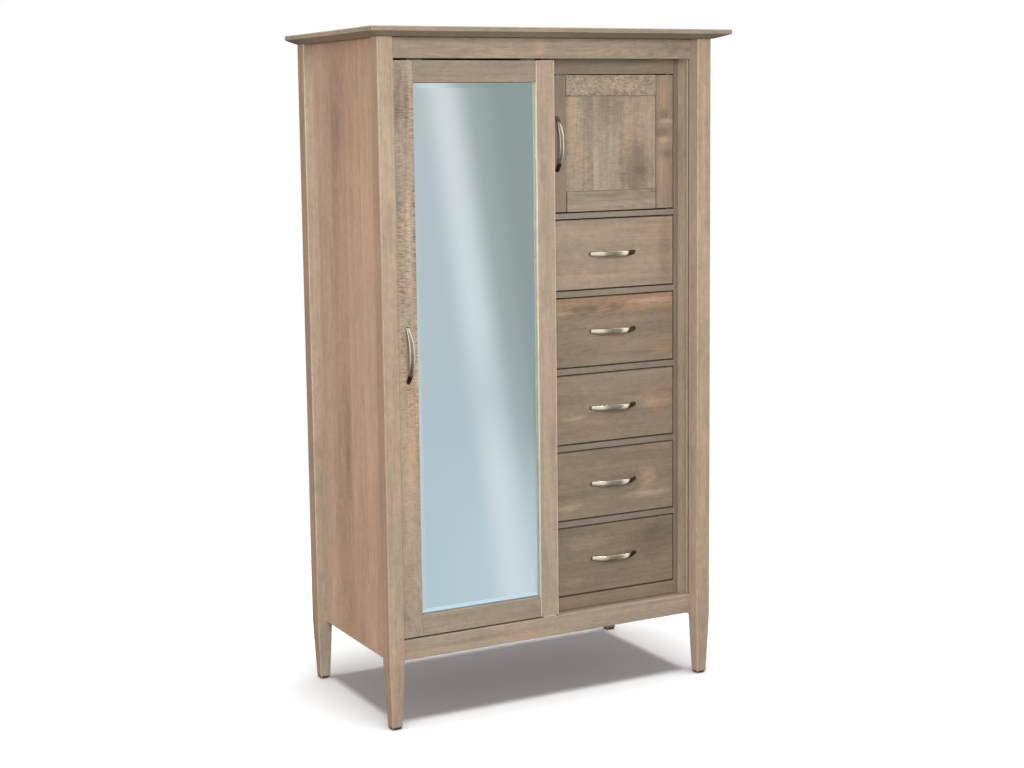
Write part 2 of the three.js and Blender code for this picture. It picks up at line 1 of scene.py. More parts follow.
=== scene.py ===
# %% [markdown]
# # A chifforobe in stained maple
#
# This lesson dresses a cabinet that is already built: a case on tapered legs with a mirrored sliding
# door, a small panelled door and five drawers. The solids come from the imported frame, so every size
# and place is settled. What is left for Blender is what the eye meets: the stain and the grain, the
# eased edges that catch light, the silvered glass, the cast pulls and the studio round it all.
#
# The cells run from top to bottom, and nearly every one prints what it made.

import math

import bmesh
import bpy
from mathutils import Matrix, Vector


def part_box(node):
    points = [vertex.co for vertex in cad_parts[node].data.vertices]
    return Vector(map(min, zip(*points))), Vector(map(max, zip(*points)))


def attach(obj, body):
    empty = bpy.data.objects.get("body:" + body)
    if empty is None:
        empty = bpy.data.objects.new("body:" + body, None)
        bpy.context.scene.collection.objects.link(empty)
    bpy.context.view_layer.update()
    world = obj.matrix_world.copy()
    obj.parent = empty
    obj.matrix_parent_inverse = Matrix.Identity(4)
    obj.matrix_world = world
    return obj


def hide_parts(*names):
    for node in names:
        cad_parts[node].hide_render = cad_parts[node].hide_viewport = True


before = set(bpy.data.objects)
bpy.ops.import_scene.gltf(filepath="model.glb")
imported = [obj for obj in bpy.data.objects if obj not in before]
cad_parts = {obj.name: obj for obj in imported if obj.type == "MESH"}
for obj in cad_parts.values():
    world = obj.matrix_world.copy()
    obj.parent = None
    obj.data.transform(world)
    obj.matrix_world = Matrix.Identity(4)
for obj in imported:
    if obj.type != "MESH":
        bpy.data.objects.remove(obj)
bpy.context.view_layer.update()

# %% [markdown]
# ## Helpers for shader nodes
#
# A finish is a small graph of nodes. Typing out each node and each link hides the idea, so helpers do
# the wiring: one makes a node and fills its sockets, one does arithmetic, one stretches a value over a
# new range and one mixes two colours. A socket is filled with a number when it stays the same all over
# the surface, and with another node's output when it varies.

# %% Shader helpers
def put(tree, kind, values=None, **settings):
    made = tree.nodes.new("ShaderNode" + kind)
    for key, value in settings.items():
        setattr(made, key, value)
    for key, value in (values or {}).items():
        if isinstance(value, bpy.types.NodeSocket):
            tree.links.new(value, made.inputs[key])
        else:
            made.inputs[key].default_value = value
    return made


def sums(tree, operation, first, second=0.0):
    return put(tree, "Math", {0: first, 1: second}, operation=operation).outputs[0]


def times(tree, first, second):
    return sums(tree, "MULTIPLY", first, second)


def spread(tree, value, low, high, to_low=0.0, to_high=1.0):
    """Stretches the part of a value between low and high over a new range."""
    sockets = {"Value": value, "From Min": low, "From Max": high, "To Min": to_low, "To Max": to_high}
    return put(tree, "MapRange", sockets).outputs["Result"]


def mixed(tree, share, first, second, how="MIX"):
    sockets = {0: share, 6: first, 7: second}
    made = put(tree, "Mix", sockets, data_type="RGBA", blend_type=how, clamp_factor=True)
    return made.outputs[2]


def paint(red, green, blue, lift=1.0):
    """A colour as a painter's swatch, 0 to 255, turned into the linear light that shaders use."""
    def channel(value):
        share = value / 255
        return share / 12.92 if share <= 0.04045 else ((share + 0.055) / 1.055) ** 2.4

    return (*(channel(value) * lift for value in (red, green, blue)), 1.0)


def bare_finish(name):
    """A material with an empty graph."""
    finish = bpy.data.materials.new(name)
    finish.use_nodes = True
    finish.node_tree.nodes.clear()
    return finish, finish.node_tree


def blank_finish(name):
    """A material with one Principled shader, which most finishes start from."""
    finish, tree = bare_finish(name)
    shell = put(tree, "BsdfPrincipled")
    put(tree, "OutputMaterial", {"Surface": shell.outputs[0]})
    return finish, tree, shell


print("shader helpers ready")

# %% [markdown]
# ## A helper for meshes
#
# The floor, the reflector board, the pulls, the beads and the screws are listed as points and faces. One
# helper turns such a list into an object with a finish.

# %% Mesh helper
def new_object(name, verts, faces, finish):
    mesh = bpy.data.meshes.new(name)
    mesh.from_pydata(verts, [], faces)
    mesh.materials.append(finish)
    made = bpy.data.objects.new(name, mesh)
    bpy.context.scene.collection.objects.link(made)
    return made


print("mesh helper ready")

# %% [markdown]
# ## The camera
#
# The photograph was taken from the left, a little above the middle of the case, with a long lens. The
# camera's place was found by lining up the posts, the top board, the rails and the drawers. The small
# shift keeps the upright edges near upright, as a view camera does.

# %% Camera
LENS = 61.69
SENSOR_WIDTH = 36
FAR_CLIP = 60
CAMERA_AT = Vector((-2.3173, -4.3076, 1.6056))
CAMERA_YAW = -0.4762
CAMERA_PITCH = -0.1291
CAMERA_ROLL = -0.014
CAMERA_SHIFT = (0.03, -0.04)


def aim_axes(yaw, pitch, roll):
    ahead = Vector((-math.sin(yaw) * math.cos(pitch), math.cos(yaw) * math.cos(pitch), math.sin(pitch)))
    level = Vector((math.cos(yaw), math.sin(yaw), 0))
    up = level.cross(ahead)
    right = math.cos(roll) * level + math.sin(roll) * up
    return right, right.cross(ahead), ahead


lens = bpy.data.cameras.new("view_camera")
lens.lens = LENS
lens.sensor_width = SENSOR_WIDTH
lens.shift_x, lens.shift_y = CAMERA_SHIFT
lens.clip_end = FAR_CLIP
camera = bpy.data.objects.new("view_camera", lens)
bpy.context.scene.collection.objects.link(camera)
right, up, ahead = aim_axes(CAMERA_YAW, CAMERA_PITCH, CAMERA_ROLL)
turn = Matrix((right, up, -ahead)).transposed().to_4x4()
camera.matrix_world = Matrix.Translation(CAMERA_AT) @ turn
bpy.context.scene.camera = camera
print("camera at", [round(v, 3) for v in camera.location], "lens", LENS)

# %% [markdown]
# ## The studio
#
# A plain white sweep, a light overhead that leaves a soft shadow between the legs, a large soft source
# in front, a warm one at the left and a weaker one at the right and behind, for who walks round the
# cabinet. The floor turns into pure white away from the cabinet, so no horizon shows behind it. Most of
# its brightness comes from an overhead light that only the floor gets, and a little of its own, so the
# shadow is an even grey with soft edges. The air is brighter from above than from below, which keeps
# the underside of the top board dark.
#
# Metal shows what stands round it, so it needs a studio with contrast. Rays that bounce off a glossy
# face see other air: a white wall at the front left, a dim gap straight ahead of the camera's mirror
# angle, a second soft box at the right and darkness behind it, all dimmer towards the floor.

# %% Floor and backdrop
FLOOR_REACH = 20.0
FLOOR_SHADE_FADE = (1.1, 2.6)
FLOOR_PAPER = 0.26
FLOOR_SHADE = paint(134, 127, 128, 0.74)
AIR_LEVELS = (-0.7, 0.7)
AIR_GLOW = (0.22, 0.68)
WALL_GLOWS = ((-180, 0.3), (180, 0.05), (-150, 0.45), (-110, 0.8), (-16, 0.8), (8, 0.24), (38, 0.20),
              (52, 1.0), (74, 1.0), (86, 0.03))
WALL_FADE = (-0.65, 0.0)
WALL_LOW_SHARE = 0.22
WALL_POWER = 1.5
WHITE, AIR_TINT, WALL_TINT = paint(255, 255, 255), paint(255, 253, 250), paint(255, 250, 238)


def studio_floor():
    finish, tree = bare_finish("white_sweep")
    place = put(tree, "TexCoord").outputs["Object"]
    away = put(tree, "VectorMath", {0: place}, operation="LENGTH").outputs["Value"]
    glow_share = spread(tree, away, *FLOOR_SHADE_FADE)
    paper = put(tree, "BsdfDiffuse", {"Color": (FLOOR_PAPER, FLOOR_PAPER, FLOOR_PAPER, 1)})
    base = put(tree, "Emission", {"Color": FLOOR_SHADE, "Strength": 1.0})
    lit_paper = put(tree, "AddShader", {0: paper.outputs[0], 1: base.outputs[0]})
    glow = put(tree, "Emission", {"Color": WHITE, "Strength": 1.0})
    both = put(tree, "MixShader", {0: glow_share, 1: lit_paper.outputs[0], 2: glow.outputs[0]})
    put(tree, "OutputMaterial", {"Surface": both.outputs[0]})
    reach = FLOOR_REACH
    corners = [(-reach, -reach, 0), (reach, -reach, 0), (reach, reach, 0), (-reach, reach, 0)]
    floor = new_object("studio_floor", corners, [(0, 1, 2, 3)], finish)
    floor.visible_diffuse = False
    floor.visible_glossy = False
    return floor


sweep = studio_floor()
world = bpy.data.worlds.new("studio_air")
bpy.context.scene.world = world
world.use_nodes = True
air = world.node_tree
air.nodes.clear()
ray = put(air, "LightPath").outputs
heading = put(air, "SeparateXYZ", {0: put(air, "TexCoord").outputs["Generated"]}).outputs
ambient_level = spread(air, heading["Z"], *AIR_LEVELS, *AIR_GLOW)
ambient = put(air, "Background", {"Color": AIR_TINT, "Strength": ambient_level})
round_about = sums(air, "ARCTAN2", heading["X"], times(air, heading["Y"], -1.0))
walls = put(air, "ValToRGB", {"Fac": spread(air, round_about, -math.pi, math.pi)})
walls.color_ramp.interpolation = "EASE"
for stop, (angle, glow) in enumerate(WALL_GLOWS):
    place = (angle + 180) / 360
    mark = walls.color_ramp.elements[stop] if stop < 2 else walls.color_ramp.elements.new(place)
    mark.position, mark.color = place, (glow, glow, glow, 1)
fade = spread(air, heading["Z"], *WALL_FADE, WALL_LOW_SHARE, 1.0)
wall_level = times(air, times(air, walls.outputs["Color"], fade), WALL_POWER)
gloss = put(air, "Background", {"Color": WALL_TINT, "Strength": wall_level})
bounced = put(air, "MixShader", {0: ray["Is Glossy Ray"], 1: ambient.outputs[0], 2: gloss.outputs[0]})
backdrop = put(air, "Background", {"Color": WHITE, "Strength": 1.0})
either = put(air, "MixShader", {0: ray["Is Camera Ray"], 1: bounced.outputs[0], 2: backdrop.outputs[0]})
put(air, "OutputWorld", {"Surface": either.outputs[0]})
bpy.context.scene.view_settings.view_transform = "Standard"
print("floor and air ready")

# %% Lights
# Power in watts per square metre and width in degrees
OVERHEAD_LIGHTS = {"overhead": (1.6, 13), "floor_lift": (11.0, 24)}
OVERHEAD_TILT = math.radians(4)
# Place, point that it faces, width and height, watts and tint
SOFT_PANELS = {
    "front_key": ((-1.3, -3.8, 2.1), (0, 0, 1.1), (1.8, 1.5), 112, (1.0, 0.985, 0.95)),
    "side_fill": ((-4.2, -1.5, 1.9), (-0.5, 0, 1.0), (1.6, 2.0), 40, (1.0, 0.87, 0.72)),
    "right_fill": ((4.0, 0.9, 1.9), (0.5, 0.1, 1.0), (1.6, 2.0), 55, (1.0, 0.93, 0.85)),
}


def light_object(name, kind, power):
    lamp = bpy.data.lights.new(name, kind)
    lamp.energy = power
    lit = bpy.data.objects.new(name, lamp)
    bpy.context.scene.collection.objects.link(lit)
    return lit, lamp


def overhead_light(name, power, width):
    lit, lamp = light_object(name, "SUN", power)
    lamp.angle = math.radians(width)
    lit.rotation_euler = (OVERHEAD_TILT, 0, 0)
    return lit


def soft_panel(name, at, look_at, size, power, tint):
    lit, lamp = light_object(name, "AREA", power)
    lamp.shape = "RECTANGLE"
    lamp.size, lamp.size_y = size
    lamp.color = tint
    lit.location = at
    lit.rotation_euler = (Vector(look_at) - Vector(at)).to_track_quat("-Z", "Y").to_euler()
    lit.visible_camera = False
    return lit


lit_floor = bpy.data.collections.new("lit_by_floor_lift")
lit_floor.objects.link(sweep)
lit_pieces = bpy.data.collections.new("lit_by_soft_panels")
for name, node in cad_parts.items():
    if "hanger" not in name and "track" not in name:
        lit_pieces.objects.link(node)
overheads = {name: overhead_light(name, *values) for name, values in OVERHEAD_LIGHTS.items()}
overheads["floor_lift"].light_linking.receiver_collection = lit_floor
for name, values in SOFT_PANELS.items():
    soft_panel(name, *values).light_linking.receiver_collection = lit_pieces

# %% [markdown]
# ## Stained maple
#
# Maple is a pale wood with little figure. Under a grey-brown wiping stain it shows soft streaks along
# the grain, a drift between green-grey and pink, darker ovals where it drinks more stain, a few warmer
# patches and a faint ripple across the grain. One stile was left with the marks of the saw. Each of
# these is a noise stretched its own way in the board's own space: first the length of the board, then
# its width, then its thickness. A wide panel is glued up from narrower boards, so each board gets its
# own shade and its own piece of the noise.

# %% Stain tones
TONES = {
    "post": paint(170, 150, 132),
    "face": paint(172, 155, 138),
    "rail": paint(161, 146, 131),
    "side": paint(190, 157, 133),
    "front": paint(156, 139, 123),
    "recess": paint(146, 130, 115),
    "inside": paint(171, 157, 142),
    "deck": paint(147, 135, 122),
}
GREY_STAIN = paint(134, 126, 112)
WARM_STAIN = paint(196, 158, 118)
GREEN_CAST = (0.97, 1.0, 0.965)
PINK_CAST = (1.03, 0.995, 0.995)
RING_COUNT = 150.0
# Each layer of noise: repeats in a metre along, across and through the board, detail, roughness, warp
GRAIN = {
    "streak": ((1.5, 38, 38), 5, 0.62, 0.5),
    "cloud": ((4, 13, 13), 2, 0.5, 0.7),
    "thread": ((10, 230, 230), 3, 0.6),
    "fleck": ((75, 260, 260), 2, 0.6),
    "mottle": ((48, 55, 55), 3, 0.6, 0.4),
    "hue": ((2.6, 19, 19), 3, 0.55, 0.9),
    "warm patch": ((2.6, 9, 9), 2, 0.5, 0.5),
    "grey blotch": ((8, 26, 26), 2, 0.5, 0.5),
    "ragged edge": ((26, 70, 70), 4, 0.6),
    "rings": ((1.7, 15, 15), 1, 0.4, 0.5),
    "saw": ((300, 52, 52), 1, 0.5),
    "saw stretch": ((7, 30, 30), 2),
    "curl": ((58, 90, 90), 2, 0.5, 2.4),
}
# Nearly all of a noise lies in the wide span and most of it in the narrow one. Some layers have levels
# of their own between which they take hold
NOISE_SPAN, NOISE_MIDDLE = (0.3, 0.7), (0.35, 0.65)
LEVELS = {
    "streak": (0.32, 0.68), "hue": (0.36, 0.64), "warm patch": (0.54, 0.72), "grey blotch": (0.56, 0.72),
    "saw": (0.34, 0.6), "saw stretch": (0.36, 0.54), "curl": (0.38, 0.66),
}
# How much darker and paler each layer makes the board, as a share
STREAK_DEPTHS = (0.17, 0.12)
LAYER_DEPTHS = {"cloud": 0.07, "thread": 0.07, "fleck": 0.06, "mottle": 0.03}
RIPPLE_DEPTH = 0.12
RING_LEVELS, RING_PALE_SHARE = (-0.2, 0.95), 0.4
SAW_FAINT, SAW_PALE_SHARE, SAW_FADE_IN = 0.3, 0.55, (-0.2, 0.1)
CURL_DARK_SHARE = 0.5
PATCH_RAGGED, PATCH_FADE = 0.42, (1.25, 0.35)
BOARD_SHADES = (0.88, 1.1)
SEED_STEP = 3.17
SHADE_STEP = 9.0
SATIN = (0.44, 0.58)
SATIN_GLOSS = 0.35
COAT_SHARE = 1 / 6
COAT_ROUGHNESS = 0.34
GRAIN_BUMP = {"Strength": 0.25, "Distance": 0.0004}


def tinge(colour, factors):
    return (*(channel * factor for channel, factor in zip(colour, factors)), 1)


def board_space(tree, along, across, seed, board_width):
    """The point on a board as length, width and thickness, first flat, then moved to the board's own
    piece of the noise, and last the shade of the narrow board that it is in."""
    axes = dict(zip("xyz", put(tree, "SeparateXYZ", {0: put(tree, "TexCoord").outputs["Object"]}).outputs))
    through = ({"x", "y", "z"} - {along, across}).pop()
    flat = put(tree, "CombineXYZ", {0: axes[along], 1: axes[across], 2: 0.0}).outputs[0]
    length = sums(tree, "ADD", axes[along], seed * SEED_STEP)
    shade = None
    if board_width:
        number = sums(tree, "FLOOR", sums(tree, "DIVIDE", sums(tree, "ADD", axes[across], seed), board_width))
        shade = put(tree, "TexWhiteNoise", {"W": number}, noise_dimensions="1D").outputs["Value"]
        length = sums(tree, "ADD", length, times(tree, shade, SHADE_STEP))
    space = put(tree, "CombineXYZ", {0: length, 1: axes[across], 2: axes[through]}).outputs[0]
    return flat, space, shade


def noise(tree, space, scales, detail=3.0, rough=0.55, warp=0.0):
    stretched = put(tree, "VectorMath", {0: space, 1: scales}, operation="MULTIPLY").outputs[0]
    sockets = {"Vector": stretched, "Scale": 1.0, "Detail": detail, "Roughness": rough, "Distortion": warp}
    return put(tree, "TexNoise", sockets).outputs["Fac"]


def grain(tree, space, layer):
    return noise(tree, space, *GRAIN[layer])


def figure(tree, space, layer, to_low=0.0, to_high=1.0):
    """A layer of the grain, stretched from its levels over a new range."""
    return spread(tree, grain(tree, space, layer), *LEVELS.get(layer, NOISE_SPAN), to_low, to_high)


def patched(tree, colour, flat, space, patches):
    """Lays soft-edged ovals over a board: place and half size along and across, swatch, strength."""
    ragged = figure(tree, space, "ragged edge", -PATCH_RAGGED, PATCH_RAGGED)
    for along, across, half_length, half_width, swatch, strength in patches:
        moved = put(tree, "VectorMath", {0: flat, 1: (along, across, 0)}, operation="SUBTRACT").outputs[0]
        sizes = (half_length, half_width, 1)
        scaled = put(tree, "VectorMath", {0: moved, 1: sizes}, operation="DIVIDE").outputs[0]
        reach = put(tree, "VectorMath", {0: scaled}, operation="LENGTH").outputs["Value"]
        inside = spread(tree, sums(tree, "ADD", reach, ragged), *PATCH_FADE)
        colour = mixed(tree, times(tree, inside, strength), colour, swatch)
    return colour


def tinted(tree, colour, gain):
    """A colour multiplied by a grey that varies over the surface."""
    grey = put(tree, "CombineColor", {0: gain, 1: gain, 2: gain}).outputs[0]
    return mixed(tree, 1.0, colour, grey, "MULTIPLY")


def board_colour(tree, flat, space, tone, lift, warm, grey, pink, patches):
    """The stain: its drift between two hues, its warmer and greyer spots and this board's own patches."""
    base = tinge(tone, (lift, lift, lift))
    drift = figure(tree, space, "hue", pink)
    colour = mixed(tree, drift, tinge(base, GREEN_CAST), tinge(base, PINK_CAST))
    for layer, swatch, strength in (("warm patch", WARM_STAIN, warm), ("grey blotch", GREY_STAIN, grey)):
        where = times(tree, figure(tree, space, layer), strength)
        colour = mixed(tree, where, colour, tinge(swatch, (lift, lift, lift)))
    return patched(tree, colour, flat, space, patches)


def board_gain(tree, space, shade, streak, thread, flow, ripple, rings):
    """How pale or dark the figure of the wood makes each point of the stain."""
    darker, paler = STREAK_DEPTHS
    gain = spread(tree, streak, 0, 1, 1 - darker * flow, 1 + paler * flow)
    if shade is not None:
        gain = times(tree, gain, spread(tree, shade, 0, 1, *BOARD_SHADES))
    for layer, depth in LAYER_DEPTHS.items():
        level = thread if layer == "thread" else grain(tree, space, layer)
        depth += RIPPLE_DEPTH * ripple if layer == "mottle" else 0
        gain = sums(tree, "ADD", gain, spread(tree, level, *NOISE_SPAN, -depth, depth))
    contour = sums(tree, "SINE", times(tree, grain(tree, space, "rings"), RING_COUNT))
    return sums(tree, "ADD", gain, spread(tree, contour, *RING_LEVELS, rings * RING_PALE_SHARE, -rings))


def saw_marks(tree, flat, space, saw, saw_from):
    """Fine lines across the board, strong where the planer missed them and past a point along it."""
    length = put(tree, "SeparateXYZ", {0: flat}).outputs["X"]
    past = spread(tree, length, *(saw_from + shift for shift in SAW_FADE_IN), SAW_FAINT)
    where = times(tree, figure(tree, space, "saw stretch", SAW_FAINT), past)
    return times(tree, figure(tree, space, "saw", -saw, saw * SAW_PALE_SHARE), where)


def stained_maple(name, along, across, tone, seed, board_width=0.0, saw=0.0, saw_from=0.0, ripple=0.2,
                  curly=0.0, rings=0.035, warm=0.15, grey=0.3, pink=0.0, flow=0.8, lift=1.0,
                  gloss=SATIN_GLOSS, patches=()):
    finish, tree, shell = blank_finish(name)
    flat, space, shade = board_space(tree, along, across, seed, board_width)
    streak = figure(tree, space, "streak")
    thread = grain(tree, space, "thread")
    colour = board_colour(tree, flat, space, tone, lift, warm, grey, pink, patches)
    gain = board_gain(tree, space, shade, streak, thread, flow, ripple, rings)
    height = times(tree, thread, 0.5)
    if saw:
        cut = saw_marks(tree, flat, space, saw, saw_from)
        gain = sums(tree, "ADD", gain, cut)
        height = sums(tree, "ADD", height, cut)
    if curly:
        gain = sums(tree, "ADD", gain, figure(tree, space, "curl", -curly * CURL_DARK_SHARE, curly))
    tree.links.new(tinted(tree, colour, gain), shell.inputs["Base Color"])
    tree.links.new(spread(tree, streak, 0, 1, *SATIN), shell.inputs["Roughness"])
    bump = put(tree, "Bump", {**GRAIN_BUMP, "Height": height})
    tree.links.new(bump.outputs[0], shell.inputs["Normal"])
    shell.inputs["Specular IOR Level"].default_value = gloss
    shell.inputs["Coat Weight"].default_value = gloss * COAT_SHARE
    shell.inputs["Coat Roughness"].default_value = COAT_ROUGHNESS
    return finish


print("tones:", ", ".join(TONES))

# %% [markdown]
# ## Dressing the boards
#
# The imported solids already have the right shapes, so they stay and only get a finish. Real boards are
# eased with sandpaper. A Bevel modifier rounds the edges, and its faces take the second material, which
# is the same board painted lighter or darker: a painted highlight gives the posts and the sliding door a
# fine pale edge line, and painted shade darkens the edges round the drawers and the small door, where
# the narrow gaps are. The Weld before it joins the loose corners that an imported mesh has.

# %% Boards and their grain
SHARP_EDGE = 0.0006
ORANGE, SMOKE, STRAW = paint(188, 146, 108), paint(112, 100, 86), paint(206, 180, 150)
UMBER, MIST = paint(104, 90, 75), paint(206, 186, 170)
DRAWER_PATCHES = {
    1: [(0.415, 1.22, 0.026, 0.12, UMBER, 0.3), (0.12, 1.15, 0.09, 0.022, STRAW, 0.2)],
    2: [(0.24, 1.088, 0.60, 0.034, ORANGE, 0.42), (0.36, 1.082, 0.08, 0.010, STRAW, 0.5),
        (0.125, 1.068, 0.026, 0.009, SMOKE, 0.6), (0.175, 1.070, 0.026, 0.012, SMOKE, 0.7),
        (0.245, 1.070, 0.028, 0.011, SMOKE, 0.7), (0.08, 1.060, 0.03, 0.008, STRAW, 0.35),
        (0.41, 0.945, 0.04, 0.02, ORANGE, 0.35)],
    3: [(0.405, 0.79, 0.03, 0.035, ORANGE, 0.25), (0.36, 0.80, 0.035, 0.03, STRAW, 0.2),
        (0.11, 0.765, 0.05, 0.006, STRAW, 0.3)],
    4: [(0.36, 0.575, 0.03, 0.035, STRAW, 0.3), (0.27, 0.645, 0.16, 0.02, UMBER, 0.25),
        (0.36, 0.53, 0.08, 0.012, STRAW, 0.3), (0.09, 0.515, 0.05, 0.012, STRAW, 0.3)],
    5: [(0.37, 0.39, 0.07, 0.055, UMBER, 0.45), (0.22, 0.345, 0.09, 0.02, SMOKE, 0.3),
        (0.10, 0.30, 0.06, 0.014, STRAW, 0.2), (0.15, 0.41, 0.08, 0.02, STRAW, 0.2)],
}
# Lower drawers are darker: partly the boards' own tone, partly painted shade for light falling off towards
# the floor
DRAWER_TONE_AND_SHADE = {1: 1.1, 2: 0.81, 3: 0.85, 4: 0.81, 5: 0.72}
SMALL_DOOR_PATCHES = [
    (1.452, 0.325, 0.10, 0.055, SMOKE, 0.6), (1.445, 0.342, 0.018, 0.018, UMBER, 0.55),
    (1.625, 0.235, 0.06, 0.07, SMOKE, 0.38), (1.58, 0.125, 0.11, 0.028, STRAW, 0.3),
    (1.46, 0.16, 0.07, 0.05, STRAW, 0.2), (1.56, 0.30, 0.12, 0.016, STRAW, 0.3)]
RIGHT_STILE_PATCHES = [
    (1.655, 0.412, 0.05, 0.022, ORANGE, 0.32), (1.600, 0.408, 0.018, 0.03, UMBER, 0.5),
    (1.582, 0.422, 0.007, 0.024, STRAW, 0.6), (1.552, 0.405, 0.016, 0.026, UMBER, 0.5),
    (1.530, 0.420, 0.010, 0.024, STRAW, 0.4), (1.492, 0.420, 0.016, 0.026, UMBER, 0.45),
    (1.440, 0.410, 0.04, 0.022, ORANGE, 0.18)]
TOP_RAIL_PATCHES = [
    (-0.02, 1.781, 0.03, 0.02, STRAW, 0.4), (-0.14, 1.768, 0.11, 0.012, STRAW, 0.3),
    (0.19, 1.770, 0.12, 0.012, STRAW, 0.25), (0.40, 1.785, 0.06, 0.012, SMOKE, 0.3)]
DOOR_STILE_PATCHES = [
    (1.655, -0.434, 0.11, 0.018, SMOKE, 0.6), (1.62, -0.414, 0.10, 0.011, SMOKE, 0.5),
    (1.46, -0.43, 0.08, 0.02, SMOKE, 0.2), (1.30, -0.408, 0.16, 0.009, STRAW, 0.35),
    (0.72, -0.425, 0.35, 0.03, STRAW, 0.18)]
SIDE_PATCHES = [
    (0.98, 0.250, 2.5, 0.014, MIST, 0.6), (0.98, 0.205, 2.5, 0.065, MIST, 0.45),
    (1.08, -0.02, 0.5, 0.16, MIST, 0.16), (1.62, 0.03, 0.2, 0.2, UMBER, 0.13),
    (1.0, -0.035, 0.9, 0.022, STRAW, 0.25), (0.72, -0.17, 0.5, 0.012, UMBER, 0.3),
    (0.72, 0.06, 0.16, 0.024, UMBER, 0.35), (1.55, 0.10, 0.25, 0.035, UMBER, 0.25)]
# Edge levels: painted shade for eased edges in the gaps, and a painted highlight for a bright edge line
GAP_SHADE_BLACK, GAP_SHADE_DARK, EDGE_HIGHLIGHT = 0.08, 0.2, 2.0
# Each board: the axes along and across it, its tone, and where it differs from plain stained maple. An
# edge is how much its eased edges are painted paler than the board as a highlight, or darker as shade in a
# gap
BOARDS = {
    "top_board": ("x", "y", "rail", {"board_width": 0.148, "edge": 1.25}),
    "front_rail_top": ("x", "z", "rail", {"rings": 0.1, "patches": TOP_RAIL_PATCHES}),
    "front_rail_bottom": ("x", "z", "rail", {"lift": 1.05, "rings": 0.05}),
    "back_rail": ("x", "z", "rail", {}),
    "bottom_board": ("x", "y", "recess", {"board_width": 0.12}),
    "hat_shelf": ("x", "y", "recess", {"board_width": 0.127}),
    "partition": ("z", "y", "recess", {"board_width": 0.11}),
    "bank_side": ("z", "y", "recess", {"warm": 0, "edge": 1.9, "lift": 0.71}),
    "bank_header": ("x", "z", "recess", {"edge": GAP_SHADE_DARK, "warm": 0.8, "lift": 0.94}),
    "bank_base": ("x", "z", "recess", {"lift": 0.92, "edge": GAP_SHADE_DARK}),
    "compartment_floor": ("x", "y", "deck", {"lift": 0.98, "warm": 0, "edge": GAP_SHADE_BLACK}),
    "mirror_door_stile_left": ("z", "x", "face", {
        "saw": 0.34, "saw_from": 0.85, "ripple": 0.4, "warm": 0.5, "edge": 0.95, "lift": 0.95,
        "patches": DOOR_STILE_PATCHES}),
    "mirror_door_stile_right": ("z", "x", "face", {"lift": 0.97, "edge": EDGE_HIGHLIGHT}),
    "mirror_door_rail_bottom": ("x", "z", "rail", {"edge": 0.9, "lift": 0.97}),
    "mirror_door_rail_top": ("x", "z", "rail", {"lift": 0.87, "edge": 0.8}),
    "small_door_stile_left": ("z", "x", "front", {"lift": 0.8, "edge": GAP_SHADE_DARK}),
    "small_door_stile_right": ("z", "x", "front", {
        "lift": 1.02, "warm": 0, "rings": 0.06, "edge": GAP_SHADE_DARK, "patches": RIGHT_STILE_PATCHES}),
    "small_door_rail_bottom": ("x", "z", "rail", {
        "lift": 0.93, "edge": GAP_SHADE_BLACK, "ease": 0.0018, "flow": 1.3, "rings": 0.09}),
    "small_door_rail_top": ("x", "z", "rail", {"curly": 0.42, "ripple": 0.6, "edge": GAP_SHADE_DARK, "lift": 0.98}),
    "small_door_panel": ("z", "x", "rail", {
        "board_width": 0.077, "saw": 0.13, "ripple": 0.3, "lift": 1.04, "patches": SMALL_DOOR_PATCHES}),
}
POST_LOOK = {"ripple": 0.4, "flow": 0.6}
for post in ("front_left", "back_right"):
    BOARDS[f"post_{post}"] = ("z", "x", "post", {**POST_LOOK, "warm": 0.1, "edge": 1.08})
BOARDS["post_front_right"] = ("z", "x", "post", {**POST_LOOK, "warm": 0, "edge": 1.15, "lift": 1.07})
BOARDS["post_back_left"] = ("z", "x", "inside", {**POST_LOOK, "warm": 0, "edge": 1.25, "pink": 1.0})
for side in ("left", "right"):
    BOARDS[f"side_panel_{side}"] = ("z", "y", "side", {
        "board_width": 0.097, "flow": 0.7, "lift": 1.06, "warm": 0.04, "pink": 0.45, "edge": 1.15,
        "patches": SIDE_PATCHES})
# The decks get darker towards the bottom, and painted shade on their eased edges in the gaps
for number in range(1, 5):
    BOARDS[f"drawer_deck_{number}"] = ("x", "y", "deck", {
        "lift": 0.98 - 0.04 * number, "warm": 0, "edge": 0.45, "ease": SHARP_EDGE})
for number, lift in DRAWER_TONE_AND_SHADE.items():
    BOARDS[f"drawer_{number}_front"] = ("x", "z", "front", {
        "lift": lift, "edge": GAP_SHADE_DARK, "ripple": 0.35, "ease": SHARP_EDGE, "patches": DRAWER_PATCHES[number]})
BOARDS["drawer_2_front"][3]["rings"] = 0.08
print("boards described:", len(BOARDS))

# %% Finishes and eased edges of the boards
WELD_DISTANCE = 0.00001
SHARP_ANGLE = math.radians(28)
EASED_EDGE = 0.0011
GAP_EDGE = 0.001
GAP_GLOSS = 0.05
# A faint painted highlight on eased edges that are not in a gap
PLAIN_EDGE_HIGHLIGHT = 1.05


def dress(node, *finishes):
    """Takes away a node's imported normals and finishes, and gives it new finishes."""
    custom = node.data.attributes.get("custom_normal")
    if custom:
        node.data.attributes.remove(custom)
    for face in node.data.polygons:
        face.use_smooth = False
    node.data.materials.clear()
    for finish in finishes:
        node.data.materials.append(finish)


def ease_edges(node, width, segments=2, sharp=SHARP_ANGLE):
    """Joins the loose corners of an imported mesh and rounds the edges that are sharper than an angle."""
    weld = node.modifiers.new("weld", "WELD")
    weld.merge_threshold = WELD_DISTANCE
    bevel = node.modifiers.new("eased_edges", "BEVEL")
    bevel.width = width
    bevel.segments = segments
    bevel.limit_method = "ANGLE"
    bevel.angle_limit = sharp
    return bevel


